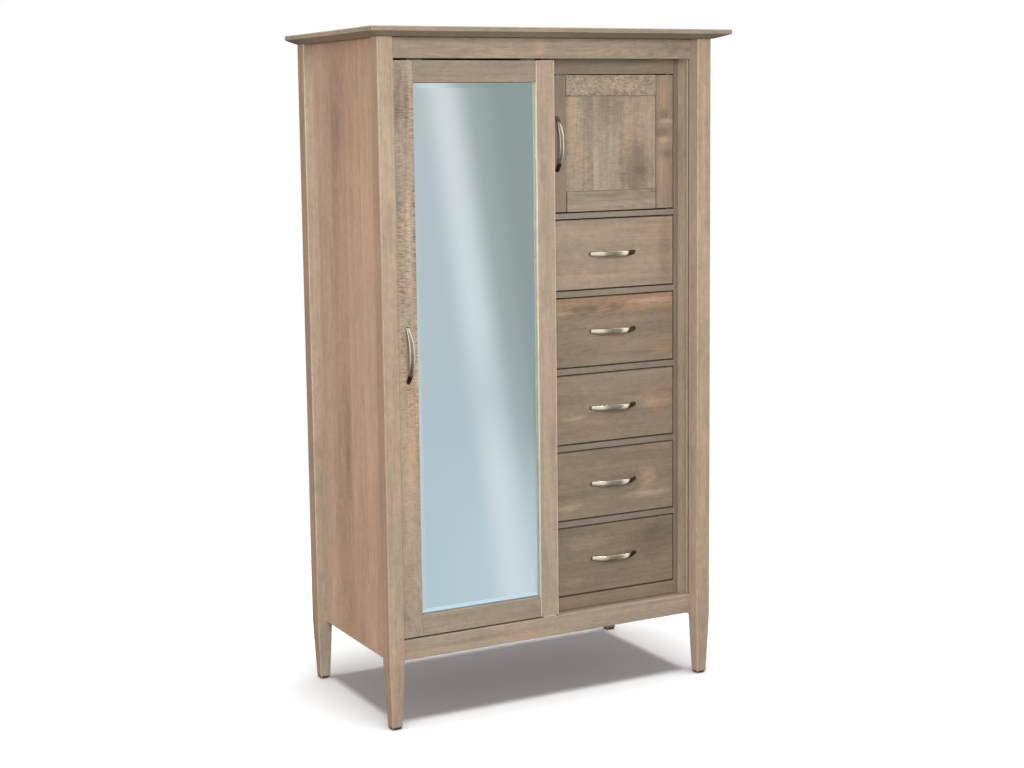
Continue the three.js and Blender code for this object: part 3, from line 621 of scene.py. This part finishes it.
for seed, (name, (along, across, tone, extra)) in enumerate(sorted(BOARDS.items()), 1):
    look = dict(extra)
    edge_light_share = look.pop("edge", PLAIN_EDGE_HIGHLIGHT)
    in_gap = edge_light_share <= GAP_SHADE_DARK
    ease = look.pop("ease", GAP_EDGE if in_gap else EASED_EDGE)
    board = stained_maple(name + "_stain", along, across, TONES[tone], seed, **look)
    # The edge material is the same stain, lifted as painted highlight or lowered as painted shade
    look.update(lift=look.get("lift", 1.0) * edge_light_share, patches=())
    look["gloss"] = GAP_GLOSS if in_gap else SATIN_GLOSS
    edge = stained_maple(name + "_edge", along, across, TONES[tone], seed, **look)
    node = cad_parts[name]
    dress(node, board, edge)
    ease_edges(node, ease).material = 1
print("stained boards:", len(BOARDS))

# %% [markdown]
# Five kinds of face look unlike the rest of their board. The inner faces of the side panels took the
# greyer stain of the inside of the case, and the outer sides of the posts the redder one of the panels.
# The inner sides of the front posts are pale. The sight edges of the mirror's stiles, inside the
# lip that covers the rim of the glass, are painted pale as a highlight, as the photograph shows at the
# right of the mirror. The chamfers under the feet face the floor and are stained dark as painted shade.

# %% Inner faces, post sides, sight edges and foot ends
def refinish(node, finish, belongs):
    """Gives some faces of a node another finish: belongs(middle, normal) picks them."""
    node.data.materials.append(finish)
    slot = len(node.data.materials) - 1
    count = 0
    for face in node.data.polygons:
        if belongs(face.center, face.normal):
            face.material_index = slot
            count += 1
    return count


SQUARE_ON = 0.9
FOOT_CHAMFER_TOP = 0.02
CHAMFER_FALL = -0.2
GLASS_CLEARANCE = 0.0005
POST_CHEEK_LIFTS = {"front": 0.85, "back": 0.77}
inside_stain = stained_maple("inside_stain", "z", "y", paint(193, 179, 165), 33, board_width=0.11)
# A pale stain as painted highlight on the sight edges of the lip
sight_edge_highlight = stained_maple("sight_edge_highlight", "z", "y", paint(204, 196, 182), 34, flow=0.3, warm=0, grey=0)
# A dark stain as painted shade on the downward chamfers under the feet
foot_painted_shade = stained_maple("foot_shade_paint", "x", "y", TONES["recess"], 35, lift=0.35)
post_cheeks = {}
for end, lift in POST_CHEEK_LIFTS.items():
    cheek = f"post_cheek_{end}"
    post_cheeks[end] = stained_maple(cheek, "z", "y", TONES["side"], 36, lift=lift, warm=0, flow=0.7)
post_reveal = stained_maple("post_reveal_stain", "z", "y", paint(183, 164, 148), 37, warm=0, flow=0.7)


def under_foot(middle, normal):
    return middle.z < FOOT_CHAMFER_TOP and normal.z < CHAMFER_FALL


def facing(way):
    """A test for the faces that look along +x or, with way at -1, along -x."""
    return lambda middle, normal: normal.x * way > SQUARE_ON


for side, inward in (("left", 1), ("right", -1)):
    print("inner faces", refinish(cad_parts[f"side_panel_{side}"], inside_stain, facing(inward)))
    for end in ("front", "back"):
        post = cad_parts[f"post_{end}_{side}"]
        refinish(post, post_cheeks[end], facing(-inward))
        if end == "front":
            refinish(post, post_reveal, facing(inward))
        print("foot end faces", refinish(post, foot_painted_shade, under_foot))
glass_low, glass_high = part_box("mirror")
glass_middle = (glass_low + glass_high) / 2


def faces_glass(middle, normal):
    before_glass = middle.y < glass_low.y + GLASS_CLEARANCE
    within = glass_low.x < middle.x < glass_high.x
    towards = normal.x * (glass_middle.x - middle.x) > 0
    return before_glass and within and towards and abs(normal.x) > SQUARE_ON


for name in ("mirror_door_stile_left", "mirror_door_stile_right"):
    print("sight edge of", name, refinish(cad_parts[name], sight_edge_highlight, faces_glass))

# %% [markdown]
# The drawer boxes are maple without stain. Their grain runs along each side, so the sides and the ends
# get a finish each. The back and the mirror's backing are veneered, with the grain upright.

# %% Unstained boxes and veneered backs
BOX_SIDE = 0.012
BOX_SIDE_CLEARANCE = 0.0005
BOX_EDGE = 0.0007
CLEAR = paint(214, 188, 154)
VENEER = paint(158, 137, 116)
for number in range(1, 6):
    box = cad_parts[f"drawer_{number}_box"]
    sides = stained_maple(f"box_{number}_sides", "y", "z", CLEAR, 40 + number, warm=0.2, grey=0)
    ends = stained_maple(f"box_{number}_ends", "x", "z", CLEAR, 50 + number, warm=0.2, grey=0)
    dress(box, sides, ends)
    low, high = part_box(box.name)
    inner = (high.x - low.x) / 2 - BOX_SIDE - BOX_SIDE_CLEARANCE
    middle = (high.x + low.x) / 2
    for face in box.data.polygons:
        face.material_index = 0 if abs(face.center.x - middle) > inner else 1
    ease_edges(box, BOX_EDGE, 1)
for name in ("back_panel", "mirror_backing"):
    dress(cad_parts[name], stained_maple(name + "_veneer", "z", "x", VENEER, 61, warm=0.3))
print("drawer boxes and backs ready")

# %% [markdown]
# ## Mirror
#
# The plate is silvered glass with a wide ground bevel, which the solid already has. A polished metal
# surface stands for the silver. Its colour is the faint blue-green of thick glass. What it shows is the
# studio: a tall reflector board in front of the cabinet, pale blue and grey-green, with one soft
# diagonal band of light and a fainter one beside it. Towards the floor it is pale. The board shows only
# to perfectly sharp reflections, so the wood and the cast metal look straight through it, and it throws
# neither light nor shadow.

# %% Mirror glass and its reflector board
BOARD_Y = -1.1
BOARD_X = (-2.2, 2.6)
BOARD_Z = (-1.0, 3.2)
BAND_X, BAND_Z, BAND_LEAN = 0.130, 1.69, 0.147
BAND_SIDES = ((-0.095, 0.0), (0.005, 0.11))
BAND_DIM_Z, BAND_DIM_REACH, BAND_DIM_SHARE = 0.70, 0.25, 0.55
FAINT_BAND_SHIFT, FAINT_BAND_REACH, FAINT_BAND_SHARE = 0.42, 0.13, 0.45
POOL_HEIGHTS, POOL_SIDES, POOL_SHARE = (0.55, 0.12), (-0.34, -0.04), 0.7
LEFT_TO_NEAR, NEAR_TO_FAR = (-0.04, 0.06), (0.05, 0.2)
FLOOR_FADE = (0.0, -0.07)
SILVER_LOW, SILVER_HIGH = (0.60, 0.71, 0.77, 1), (0.61, 0.70, 0.73, 1)
SILVER_HEIGHTS = (0.3, 1.7)
# The board's colours from left to right, low and high on it, and the heights between which they change
LEFT_GLOWS = ((0.735, 0.79, 0.81, 1), (0.72, 0.75, 0.755, 1), 0.1, 1.1)
NEAR_GLOWS = ((0.76, 0.80, 0.81, 1), (0.64, 0.65, 0.61, 1), 0.2, 0.9)
FAR_GLOWS = ((0.67, 0.72, 0.74, 1), (0.44, 0.485, 0.45, 1), 0.15, 0.6)
POOL_GLOW, FAINT_GLOW = (0.88, 0.90, 0.90, 1), (0.95, 0.95, 0.93, 1)
BAND_GLOW, FLOOR_GLOW = (1.0, 0.98, 0.95, 1), (0.95, 1.02, 1.08, 1)


def mirror_glass():
    finish, tree, shell = blank_finish("mirror_glass")
    height = put(tree, "SeparateXYZ", {0: put(tree, "TexCoord").outputs["Object"]}).outputs["Z"]
    tint = mixed(tree, spread(tree, height, *SILVER_HEIGHTS), SILVER_LOW, SILVER_HIGH)
    tree.links.new(tint, shell.inputs["Base Color"])
    shell.inputs["Metallic"].default_value = 1.0
    shell.inputs["Roughness"].default_value = 0.0
    return finish


def room_glow(tree, z, past):
    """What the room lends the glass beside the band: blue at the left, grey-green at the right."""
    def glow_at(glows):
        low, high, bottom, top = glows
        return mixed(tree, spread(tree, z, bottom, top), low, high)

    right = mixed(tree, spread(tree, past, *NEAR_TO_FAR), glow_at(NEAR_GLOWS), glow_at(FAR_GLOWS))
    room = mixed(tree, spread(tree, past, *LEFT_TO_NEAR), glow_at(LEFT_GLOWS), right)
    pool = times(tree, spread(tree, z, *POOL_HEIGHTS), spread(tree, past, *POOL_SIDES))
    room = mixed(tree, times(tree, pool, POOL_SHARE), room, POOL_GLOW)
    beside = sums(tree, "ABSOLUTE", sums(tree, "ADD", past, FAINT_BAND_SHIFT))
    return mixed(tree, spread(tree, beside, FAINT_BAND_REACH, 0.0, 0.0, FAINT_BAND_SHARE), room, FAINT_GLOW)


def band_share(tree, z, past):
    """How much of the bright band there is: smooth at both sides and dimmer round one height."""
    rise, fall = BAND_SIDES
    band = times(tree, spread(tree, past, *rise), spread(tree, past, *fall, 1, 0))
    smooth = times(tree, band, sums(tree, "SUBTRACT", 3.0, times(tree, band, 2.0)))
    from_dim = sums(tree, "ABSOLUTE", sums(tree, "SUBTRACT", z, BAND_DIM_Z))
    dim = spread(tree, from_dim, 0.0, BAND_DIM_REACH, BAND_DIM_SHARE, 1.0)
    return times(tree, times(tree, smooth, band), dim)


def reflector_board():
    finish, tree = bare_finish("reflector_glow")
    place = put(tree, "SeparateXYZ", {0: put(tree, "TexCoord").outputs["Object"]})
    x, z = place.outputs["X"], place.outputs["Z"]
    drop = times(tree, sums(tree, "SUBTRACT", BAND_Z, z), BAND_LEAN)
    past = sums(tree, "SUBTRACT", sums(tree, "SUBTRACT", x, BAND_X), drop)
    above = mixed(tree, band_share(tree, z, past), room_glow(tree, z, past), BAND_GLOW)
    glow = mixed(tree, spread(tree, z, *FLOOR_FADE), above, FLOOR_GLOW)
    light = put(tree, "Emission", {"Color": glow, "Strength": 1.0})
    clear = put(tree, "BsdfTransparent")
    sharp = put(tree, "LightPath").outputs["Is Singular Ray"]
    either = put(tree, "MixShader", {0: sharp, 1: clear.outputs[0], 2: light.outputs[0]})
    put(tree, "OutputMaterial", {"Surface": either.outputs[0]})
    (x0, x1), (z0, z1), y = BOARD_X, BOARD_Z, BOARD_Y
    corners = [(x0, y, z0), (x1, y, z0), (x1, y, z1), (x0, y, z1)]
    board = new_object("reflector_board", corners, [(0, 1, 2, 3)], finish)
    board.visible_camera = False
    board.visible_diffuse = False
    board.visible_shadow = False


dress(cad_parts["mirror"], mirror_glass())
reflector_board()
print("mirror:", [round(v, 3) for v in (*glass_low, *glass_high)])

# %% [markdown]
# ## Metal and nylon
#
# The pulls are cast, and rubbed bright where a hand touches them. The right foot of a flat pull and the
# lower foot of an upright one are dark: partly the antique wash, partly painted shade where the foot
# turns from the light, and on a flat pull it starts sooner along the lower edge. The track, hangers and
# rod are zinc-plated steel with a fine drawn grain, and the rollers, guide and catch are matt nylon. All
# three share one recipe: a cloud of noise varies the colour and a much finer grain is pressed into the
# surface as bump. The gloss follows the cloud, but on drawn steel it follows the grain.

# %% Metal and nylon finishes
WASH_AND_SHADE, RUBBED = (0.10, 0.075, 0.05, 1), (0.73, 0.68, 0.595, 1)
ZINC_DULL, ZINC = (0.40, 0.41, 0.42, 1), (0.62, 0.62, 0.61, 1)
IVORY, OFF_WHITE = (0.70, 0.68, 0.62, 1), (0.80, 0.79, 0.75, 1)
FITTING_EDGE = 0.0004
FITTING_ANGLE = math.radians(40)
CREASE_ANGLE = math.radians(35)
GRAIN_DEPTH = 0.0002


def cloudy_finish(name, made, cloud_layer, grain_layer, bump_strength, colours, satin):
    """The common recipe for what is cast, drawn or moulded."""
    finish, tree, shell = blank_finish(name)
    place = put(tree, "TexCoord").outputs["Object"]
    cloud, fine = noise(tree, place, *cloud_layer), noise(tree, place, *grain_layer)
    share = spread(tree, cloud, *NOISE_MIDDLE)
    if made == "cast":
        # How rubbed each point is, against the dark wash and painted shade at one foot
        rub_and_shade = put(tree, "Attribute", attribute_name="rub_and_shade").outputs["Fac"]
        share = sums(tree, "ADD", rub_and_shade, spread(tree, cloud, *NOISE_SPAN, -0.1, 0.1))
    tree.links.new(mixed(tree, share, *colours), shell.inputs["Base Color"])
    gloss = spread(tree, fine if made == "drawn" else cloud, *NOISE_SPAN, *satin)
    tree.links.new(gloss, shell.inputs["Roughness"])
    bump = put(tree, "Bump", {"Strength": bump_strength, "Distance": GRAIN_DEPTH, "Height": fine})
    tree.links.new(bump.outputs[0], shell.inputs["Normal"])
    if made == "moulded":
        shell.inputs["Subsurface Weight"].default_value = 0.05
    else:
        shell.inputs["Metallic"].default_value = 1.0
    return finish


PEWTER = cloudy_finish("pewter_cast", "cast", ((60, 60, 60), 3, 0.6), ((700, 700, 700), 2), 0.03,
                       (WASH_AND_SHADE, RUBBED), (0.21, 0.29))
STEEL = cloudy_finish("plated_steel", "drawn", ((24, 24, 24), 4, 0.6), ((8, 700, 700), 2), 0.1,
                      (ZINC_DULL, ZINC), (0.26, 0.42))
NYLON = cloudy_finish("matt_nylon", "moulded", ((60, 60, 60), 3), ((1200, 1200, 1200), 1), 0.1,
                      (IVORY, OFF_WHITE), (0.45, 0.6))
FITTINGS = {
    STEEL: ("garment_rod", "door_track", "door_hanger_left", "door_hanger_right", "small_door_pivot_lower",
            "small_door_pivot_upper"),
    NYLON: ("door_guide", "door_roller_left", "door_roller_right", "small_door_catch"),
}
for finish, names in FITTINGS.items():
    for name in names:
        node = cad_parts[name]
        dress(node, finish)
        for face in node.data.polygons:
            face.use_smooth = True
        ease_edges(node, FITTING_EDGE, sharp=FITTING_ANGLE)
        split = node.modifiers.new("crease", "EDGE_SPLIT")
        split.split_angle = CREASE_ANGLE
print("metal and nylon nodes:", sum(len(names) for names in FITTINGS.values()))

# %% [markdown]
# ## Bow pulls
#
# Each pull is one cast bar bent to an arch, with a full round section and a very shallow hollow along
# its outer face, so that both flanks catch the light and the middle stays darker. A bent curve with a
# bevel would keep one section all the way. A lofted skin, ring after ring along the arch, lets the
# section change, and each of its points can carry how rubbed it is against the wash and the painted
# shade. Its faces are then turned outwards, so that light falls on them from the right side.

# %% Pull mesh
PULL_THICKNESS = 0.006
PULL_WIDTHS = (0.0126, 0.0154)
PULL_BOW_POWER = 2.4
PULL_FOOT = 0.011
PULL_BAR_SHARE = 0.97
PULL_ROUND_SHARE = 0.9
PULL_HOLLOW = 0.0003
PULL_HOLLOW_SHARE = 0.8
# Where the wash and painted shade start along a pull; the slant starts them sooner on a flat pull's lower
# edge
PULL_WASH_AND_SHADE_AT = {"flat": 0.58, "upright": 0.76}
PULL_SHADE_SLANT = 0.11
PULL_WASH_AND_SHADE_SHARPNESS = 18
PULL_RINGS = 72
PULL_AROUND = 36


def flatten(value):
    return math.copysign(abs(value) ** PULL_ROUND_SHARE, value)


def pull_ring(share, half_span, rise):
    """One ring of the arch, as points along the bar, away from the door and across the bar."""
    at_foot = abs(share) == 1
    half_thick = PULL_THICKNESS / 2
    bow = 1 - abs(share) ** PULL_BOW_POWER
    fall = -PULL_BOW_POWER * rise * math.copysign(abs(share) ** (PULL_BOW_POWER - 1), share)
    slope = math.atan2(fall, half_span)
    out = (-math.sin(slope) * half_thick, math.cos(slope) * half_thick)
    if at_foot:
        out = (share * PULL_FOOT / 2, 0)
    half_width = (PULL_WIDTHS[0] + (PULL_WIDTHS[1] - PULL_WIDTHS[0]) * bow) / 2
    ring = []
    for step in range(PULL_AROUND):
        angle = 2 * math.pi * step / PULL_AROUND
        away, across = flatten(math.cos(angle)), flatten(math.sin(angle))
        if math.cos(angle) > 0 and not at_foot:
            hollow = max(0.0, 1 - (across / PULL_HOLLOW_SHARE) ** 2)
            away -= PULL_HOLLOW / half_thick * bow * hollow
        ring.append((share * half_span + out[0] * away, rise * bow + out[1] * away, across * half_width))
    return ring


def ring_faces(rings, around):
    """Faces that join rings of points, each ring to the next."""
    faces = []
    for ring in range(rings - 1):
        for step in range(around):
            a, b = ring * around + step, ring * around + (step + 1) % around
            faces.append((a, b, b + around, a + around))
    return faces


def face_outwards(mesh):
    shape = bmesh.new()
    shape.from_mesh(mesh)
    bmesh.ops.recalc_face_normals(shape, faces=shape.faces)
    shape.to_mesh(mesh)
    shape.free()


def bow_pull(node_name, body):
    low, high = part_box(node_name)
    middle = (low + high) / 2
    flat = high.x - low.x > high.z - low.z
    length = max(high.x - low.x, high.z - low.z)
    half_span = (length - PULL_FOOT) / 2
    rise = high.y - low.y - PULL_THICKNESS / 2
    shares = [PULL_BAR_SHARE * (2 * step / PULL_RINGS - 1) for step in range(PULL_RINGS + 1)]
    shares = [-1, *shares, 1]
    verts, rub_and_shade = [], []
    for share in shares:
        for u, away, across in pull_ring(share, half_span, rise):
            x, z = (u, across) if flat else (across, u)
            verts.append((middle.x + x, high.y - away, middle.z + z))
            # Wash with painted shade: the lower foot of an upright pull, the right foot of a flat one
            short_of_wash_and_shade = PULL_WASH_AND_SHADE_AT["upright"] + share
            if flat:
                slant = across / PULL_WIDTHS[1] * 2 * PULL_SHADE_SLANT
                short_of_wash_and_shade = PULL_WASH_AND_SHADE_AT["flat"] + slant - share
            rub_and_shade.append(max(0.0, min(short_of_wash_and_shade * PULL_WASH_AND_SHADE_SHARPNESS, 1.0)))
    faces = ring_faces(len(shares), PULL_AROUND)
    for start in (0, len(verts) - PULL_AROUND):
        faces.append(tuple(range(start, start + PULL_AROUND)))
    pull = new_object(node_name + "_cast", verts, faces, PEWTER)
    rub_and_shade_layer = pull.data.attributes.new("rub_and_shade", "FLOAT", "POINT")
    rub_and_shade_layer.data.foreach_set("value", rub_and_shade)
    face_outwards(pull.data)
    for face in pull.data.polygons:
        face.use_smooth = len(face.vertices) == 4
    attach(pull, body)
    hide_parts(node_name)


PULLS = {"mirror_door_pull": "mirror_door", "small_door_pull": "small_door"}
PULLS.update({f"drawer_{number}_pull": f"drawer_{number}" for number in range(1, 6)})
for name, body in PULLS.items():
    bow_pull(name, body)
print("pulls:", len(PULLS))

# %% [markdown]
# ## Beads and screws
#
# Two small things finish the case. A slim bead runs up the corner where each side panel meets its front
# post, and beside it lies a thin dark strip, painted shade for the dark line of the joint. Both are long
# strips, each a section pushed up the height of the opening. The steel fittings and the back are held by
# pan-head screws. Spinning a small outline round makes the head, and pulling its inner rings into four
# lobes makes the cross. All screws of one group share one mesh, because they never move apart.

# %% Corner beads and joint lines
BEAD_SIZE = 0.0052
BEAD_CLEAR = 0.0003
JOINT_SHADE_LINE = (0.0034, 0.0006)
bead_low, bead_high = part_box("front_rail_bottom")[1].z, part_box("front_rail_top")[0].z


def upright_strip(name, outline, finish):
    """A strip with the given outline in x and y, from the bottom rail to the top rail."""
    count = len(outline)
    heights = (bead_low + BEAD_CLEAR, bead_high - BEAD_CLEAR)
    verts = [(x, y, z) for z in heights for x, y in outline]
    faces = [(i, (i + 1) % count, count + (i + 1) % count, count + i) for i in range(count)]
    faces += [tuple(reversed(range(count))), tuple(range(count, 2 * count))]
    strip = new_object(name, verts, faces, finish)
    face_outwards(strip.data)
    lit_pieces.objects.link(strip)
    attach(strip, "case")


bead_stain = stained_maple("bead_stain", "z", "x", TONES["face"], 71, lift=0.75)
# A near-black stain on a thin strip as painted shade for the dark line of the joint
joint_stain = stained_maple("joint_stain", "z", "x", TONES["recess"], 72, lift=0.45)
for side, sign in (("left", -1), ("right", 1)):
    low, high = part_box(f"side_panel_{side}")
    wall = high.x if sign < 0 else low.x
    root, front = wall - sign * BEAD_CLEAR, low.y + BEAD_CLEAR
    nose = []
    for degrees in range(0, 91, 15):
        angle = math.radians(degrees)
        nose.append((root - sign * BEAD_SIZE * math.sin(angle), front + BEAD_SIZE * (1 - math.cos(angle))))
    upright_strip(f"corner_bead_{side}", [*nose, (root, front + BEAD_SIZE)], bead_stain)
    width, proud = JOINT_SHADE_LINE
    outline = [(root, front - width), (root - sign * proud, front - width + proud / 2),
               (root - sign * proud, front - proud / 2), (root, front - BEAD_CLEAR)]
    upright_strip(f"joint_shade_line_{side}", outline, joint_stain)
print("beads and joint lines: 4")

# %% Pan-head screws
# Reach and lift of each ring of a head, as shares of its radius and height
HEAD_RINGS = ((1.0, 0.0), (1.0, 0.35), (0.86, 0.75), (0.62, 1.0), (0.5, 1.0), (0.34, 0.5))
HEAD_SIDES = 24
CROSS_RING = 4
CROSS_ROOT, CROSS_POWER = 0.35, 3
# Radius and height of a head
SCREW, SMALL_SCREW = (0.0038, 0.0019), (0.0028, 0.0014)
# Each row of screws: where it starts, the spacing and the number of screws
BACK_COLUMN, BACK_TOP_ROW = (0.09, 0.212, 8), (-0.36, 0.18, 5)
BACKING_COLUMN = (0.06, 0.2164, 7)
BACK_INSET, BACKING_INSET = 0.012, 0.007
PARTITION_X = 0.027
HANGER_PLATE = 0.003
HANGER_SCREWS = [(across, up) for across in (-0.012, 0.012) for up in (0.009, 0.030)]
ROD_FLANGE, FLANGE_RING = 0.004, 0.0183


def pan_head(at, out, radius, height):
    """Points and faces of one head at a point, standing out along a direction."""
    out = Vector(out)
    across = out.orthogonal().normalized()
    upward = out.cross(across)
    verts = []
    for level, (reach, lift) in enumerate(HEAD_RINGS):
        for step in range(HEAD_SIDES):
            angle = 2 * math.pi * step / HEAD_SIDES
            lobe = 1.0
            if level >= CROSS_RING:
                lobe = CROSS_ROOT + (1 - CROSS_ROOT) * abs(math.cos(2 * angle)) ** CROSS_POWER
            spoke = across * math.cos(angle) + upward * math.sin(angle)
            verts.append(Vector(at) + spoke * radius * reach * lobe + out * height * lift)
    faces = ring_faces(len(HEAD_RINGS), HEAD_SIDES)
    faces.append(tuple(range(len(verts) - HEAD_SIDES, len(verts))))
    return verts, faces


def screw_group(name, body, places, out, radius, height):
    verts, faces = [], []
    for at in places:
        start = len(verts)
        head_verts, head_faces = pan_head(at, out, radius, height)
        verts += head_verts
        faces += [tuple(start + index for index in face) for face in head_faces]
    group = new_object(name, verts, faces, STEEL)
    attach(group, body)
    return len(places)


def spaced(low, first, spacing, count):
    return [low + first + spacing * step for step in range(count)]


rows = {}
low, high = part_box("back_panel")
places = []
for x in (low.x + BACK_INSET, high.x - BACK_INSET, PARTITION_X):
    places += [(x, high.y, z) for z in spaced(low.z, *BACK_COLUMN)]
places += [(x, high.y, high.z - BACK_INSET) for x in spaced(0, *BACK_TOP_ROW)]
rows["back"] = screw_group("back_screws", "case", places, (0, 1, 0), *SCREW)
low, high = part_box("mirror_backing")
places = []
for x in (low.x + BACKING_INSET, high.x - BACKING_INSET):
    places += [(x, high.y, z) for z in spaced(low.z, *BACKING_COLUMN)]
rows["backing"] = screw_group("backing_screws", "mirror_door", places, (0, 1, 0), *SMALL_SCREW)
places = []
for side in ("left", "right"):
    low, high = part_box(f"door_hanger_{side}")
    middle_x = (low.x + high.x) / 2
    places += [(middle_x + dx, low.y + HANGER_PLATE, low.z + dz) for dx, dz in HANGER_SCREWS]
rows["hangers"] = screw_group("hanger_screws", "mirror_door", places, (0, 1, 0), *SMALL_SCREW)
low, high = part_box("garment_rod")
middle = (low + high) / 2
for side, x, inward in (("left", low.x + ROD_FLANGE, 1), ("right", high.x - ROD_FLANGE, -1)):
    places = []
    for degrees in (90, 210, 330):
        angle = math.radians(degrees)
        y, z = middle.y + FLANGE_RING * math.cos(angle), middle.z + FLANGE_RING * math.sin(angle)
        places.append((x, y, z))
    rows[f"rod {side}"] = screw_group(f"rod_screws_{side}", "case", places, (inward, 0, 0), *SCREW)
print("screw heads:", rows)
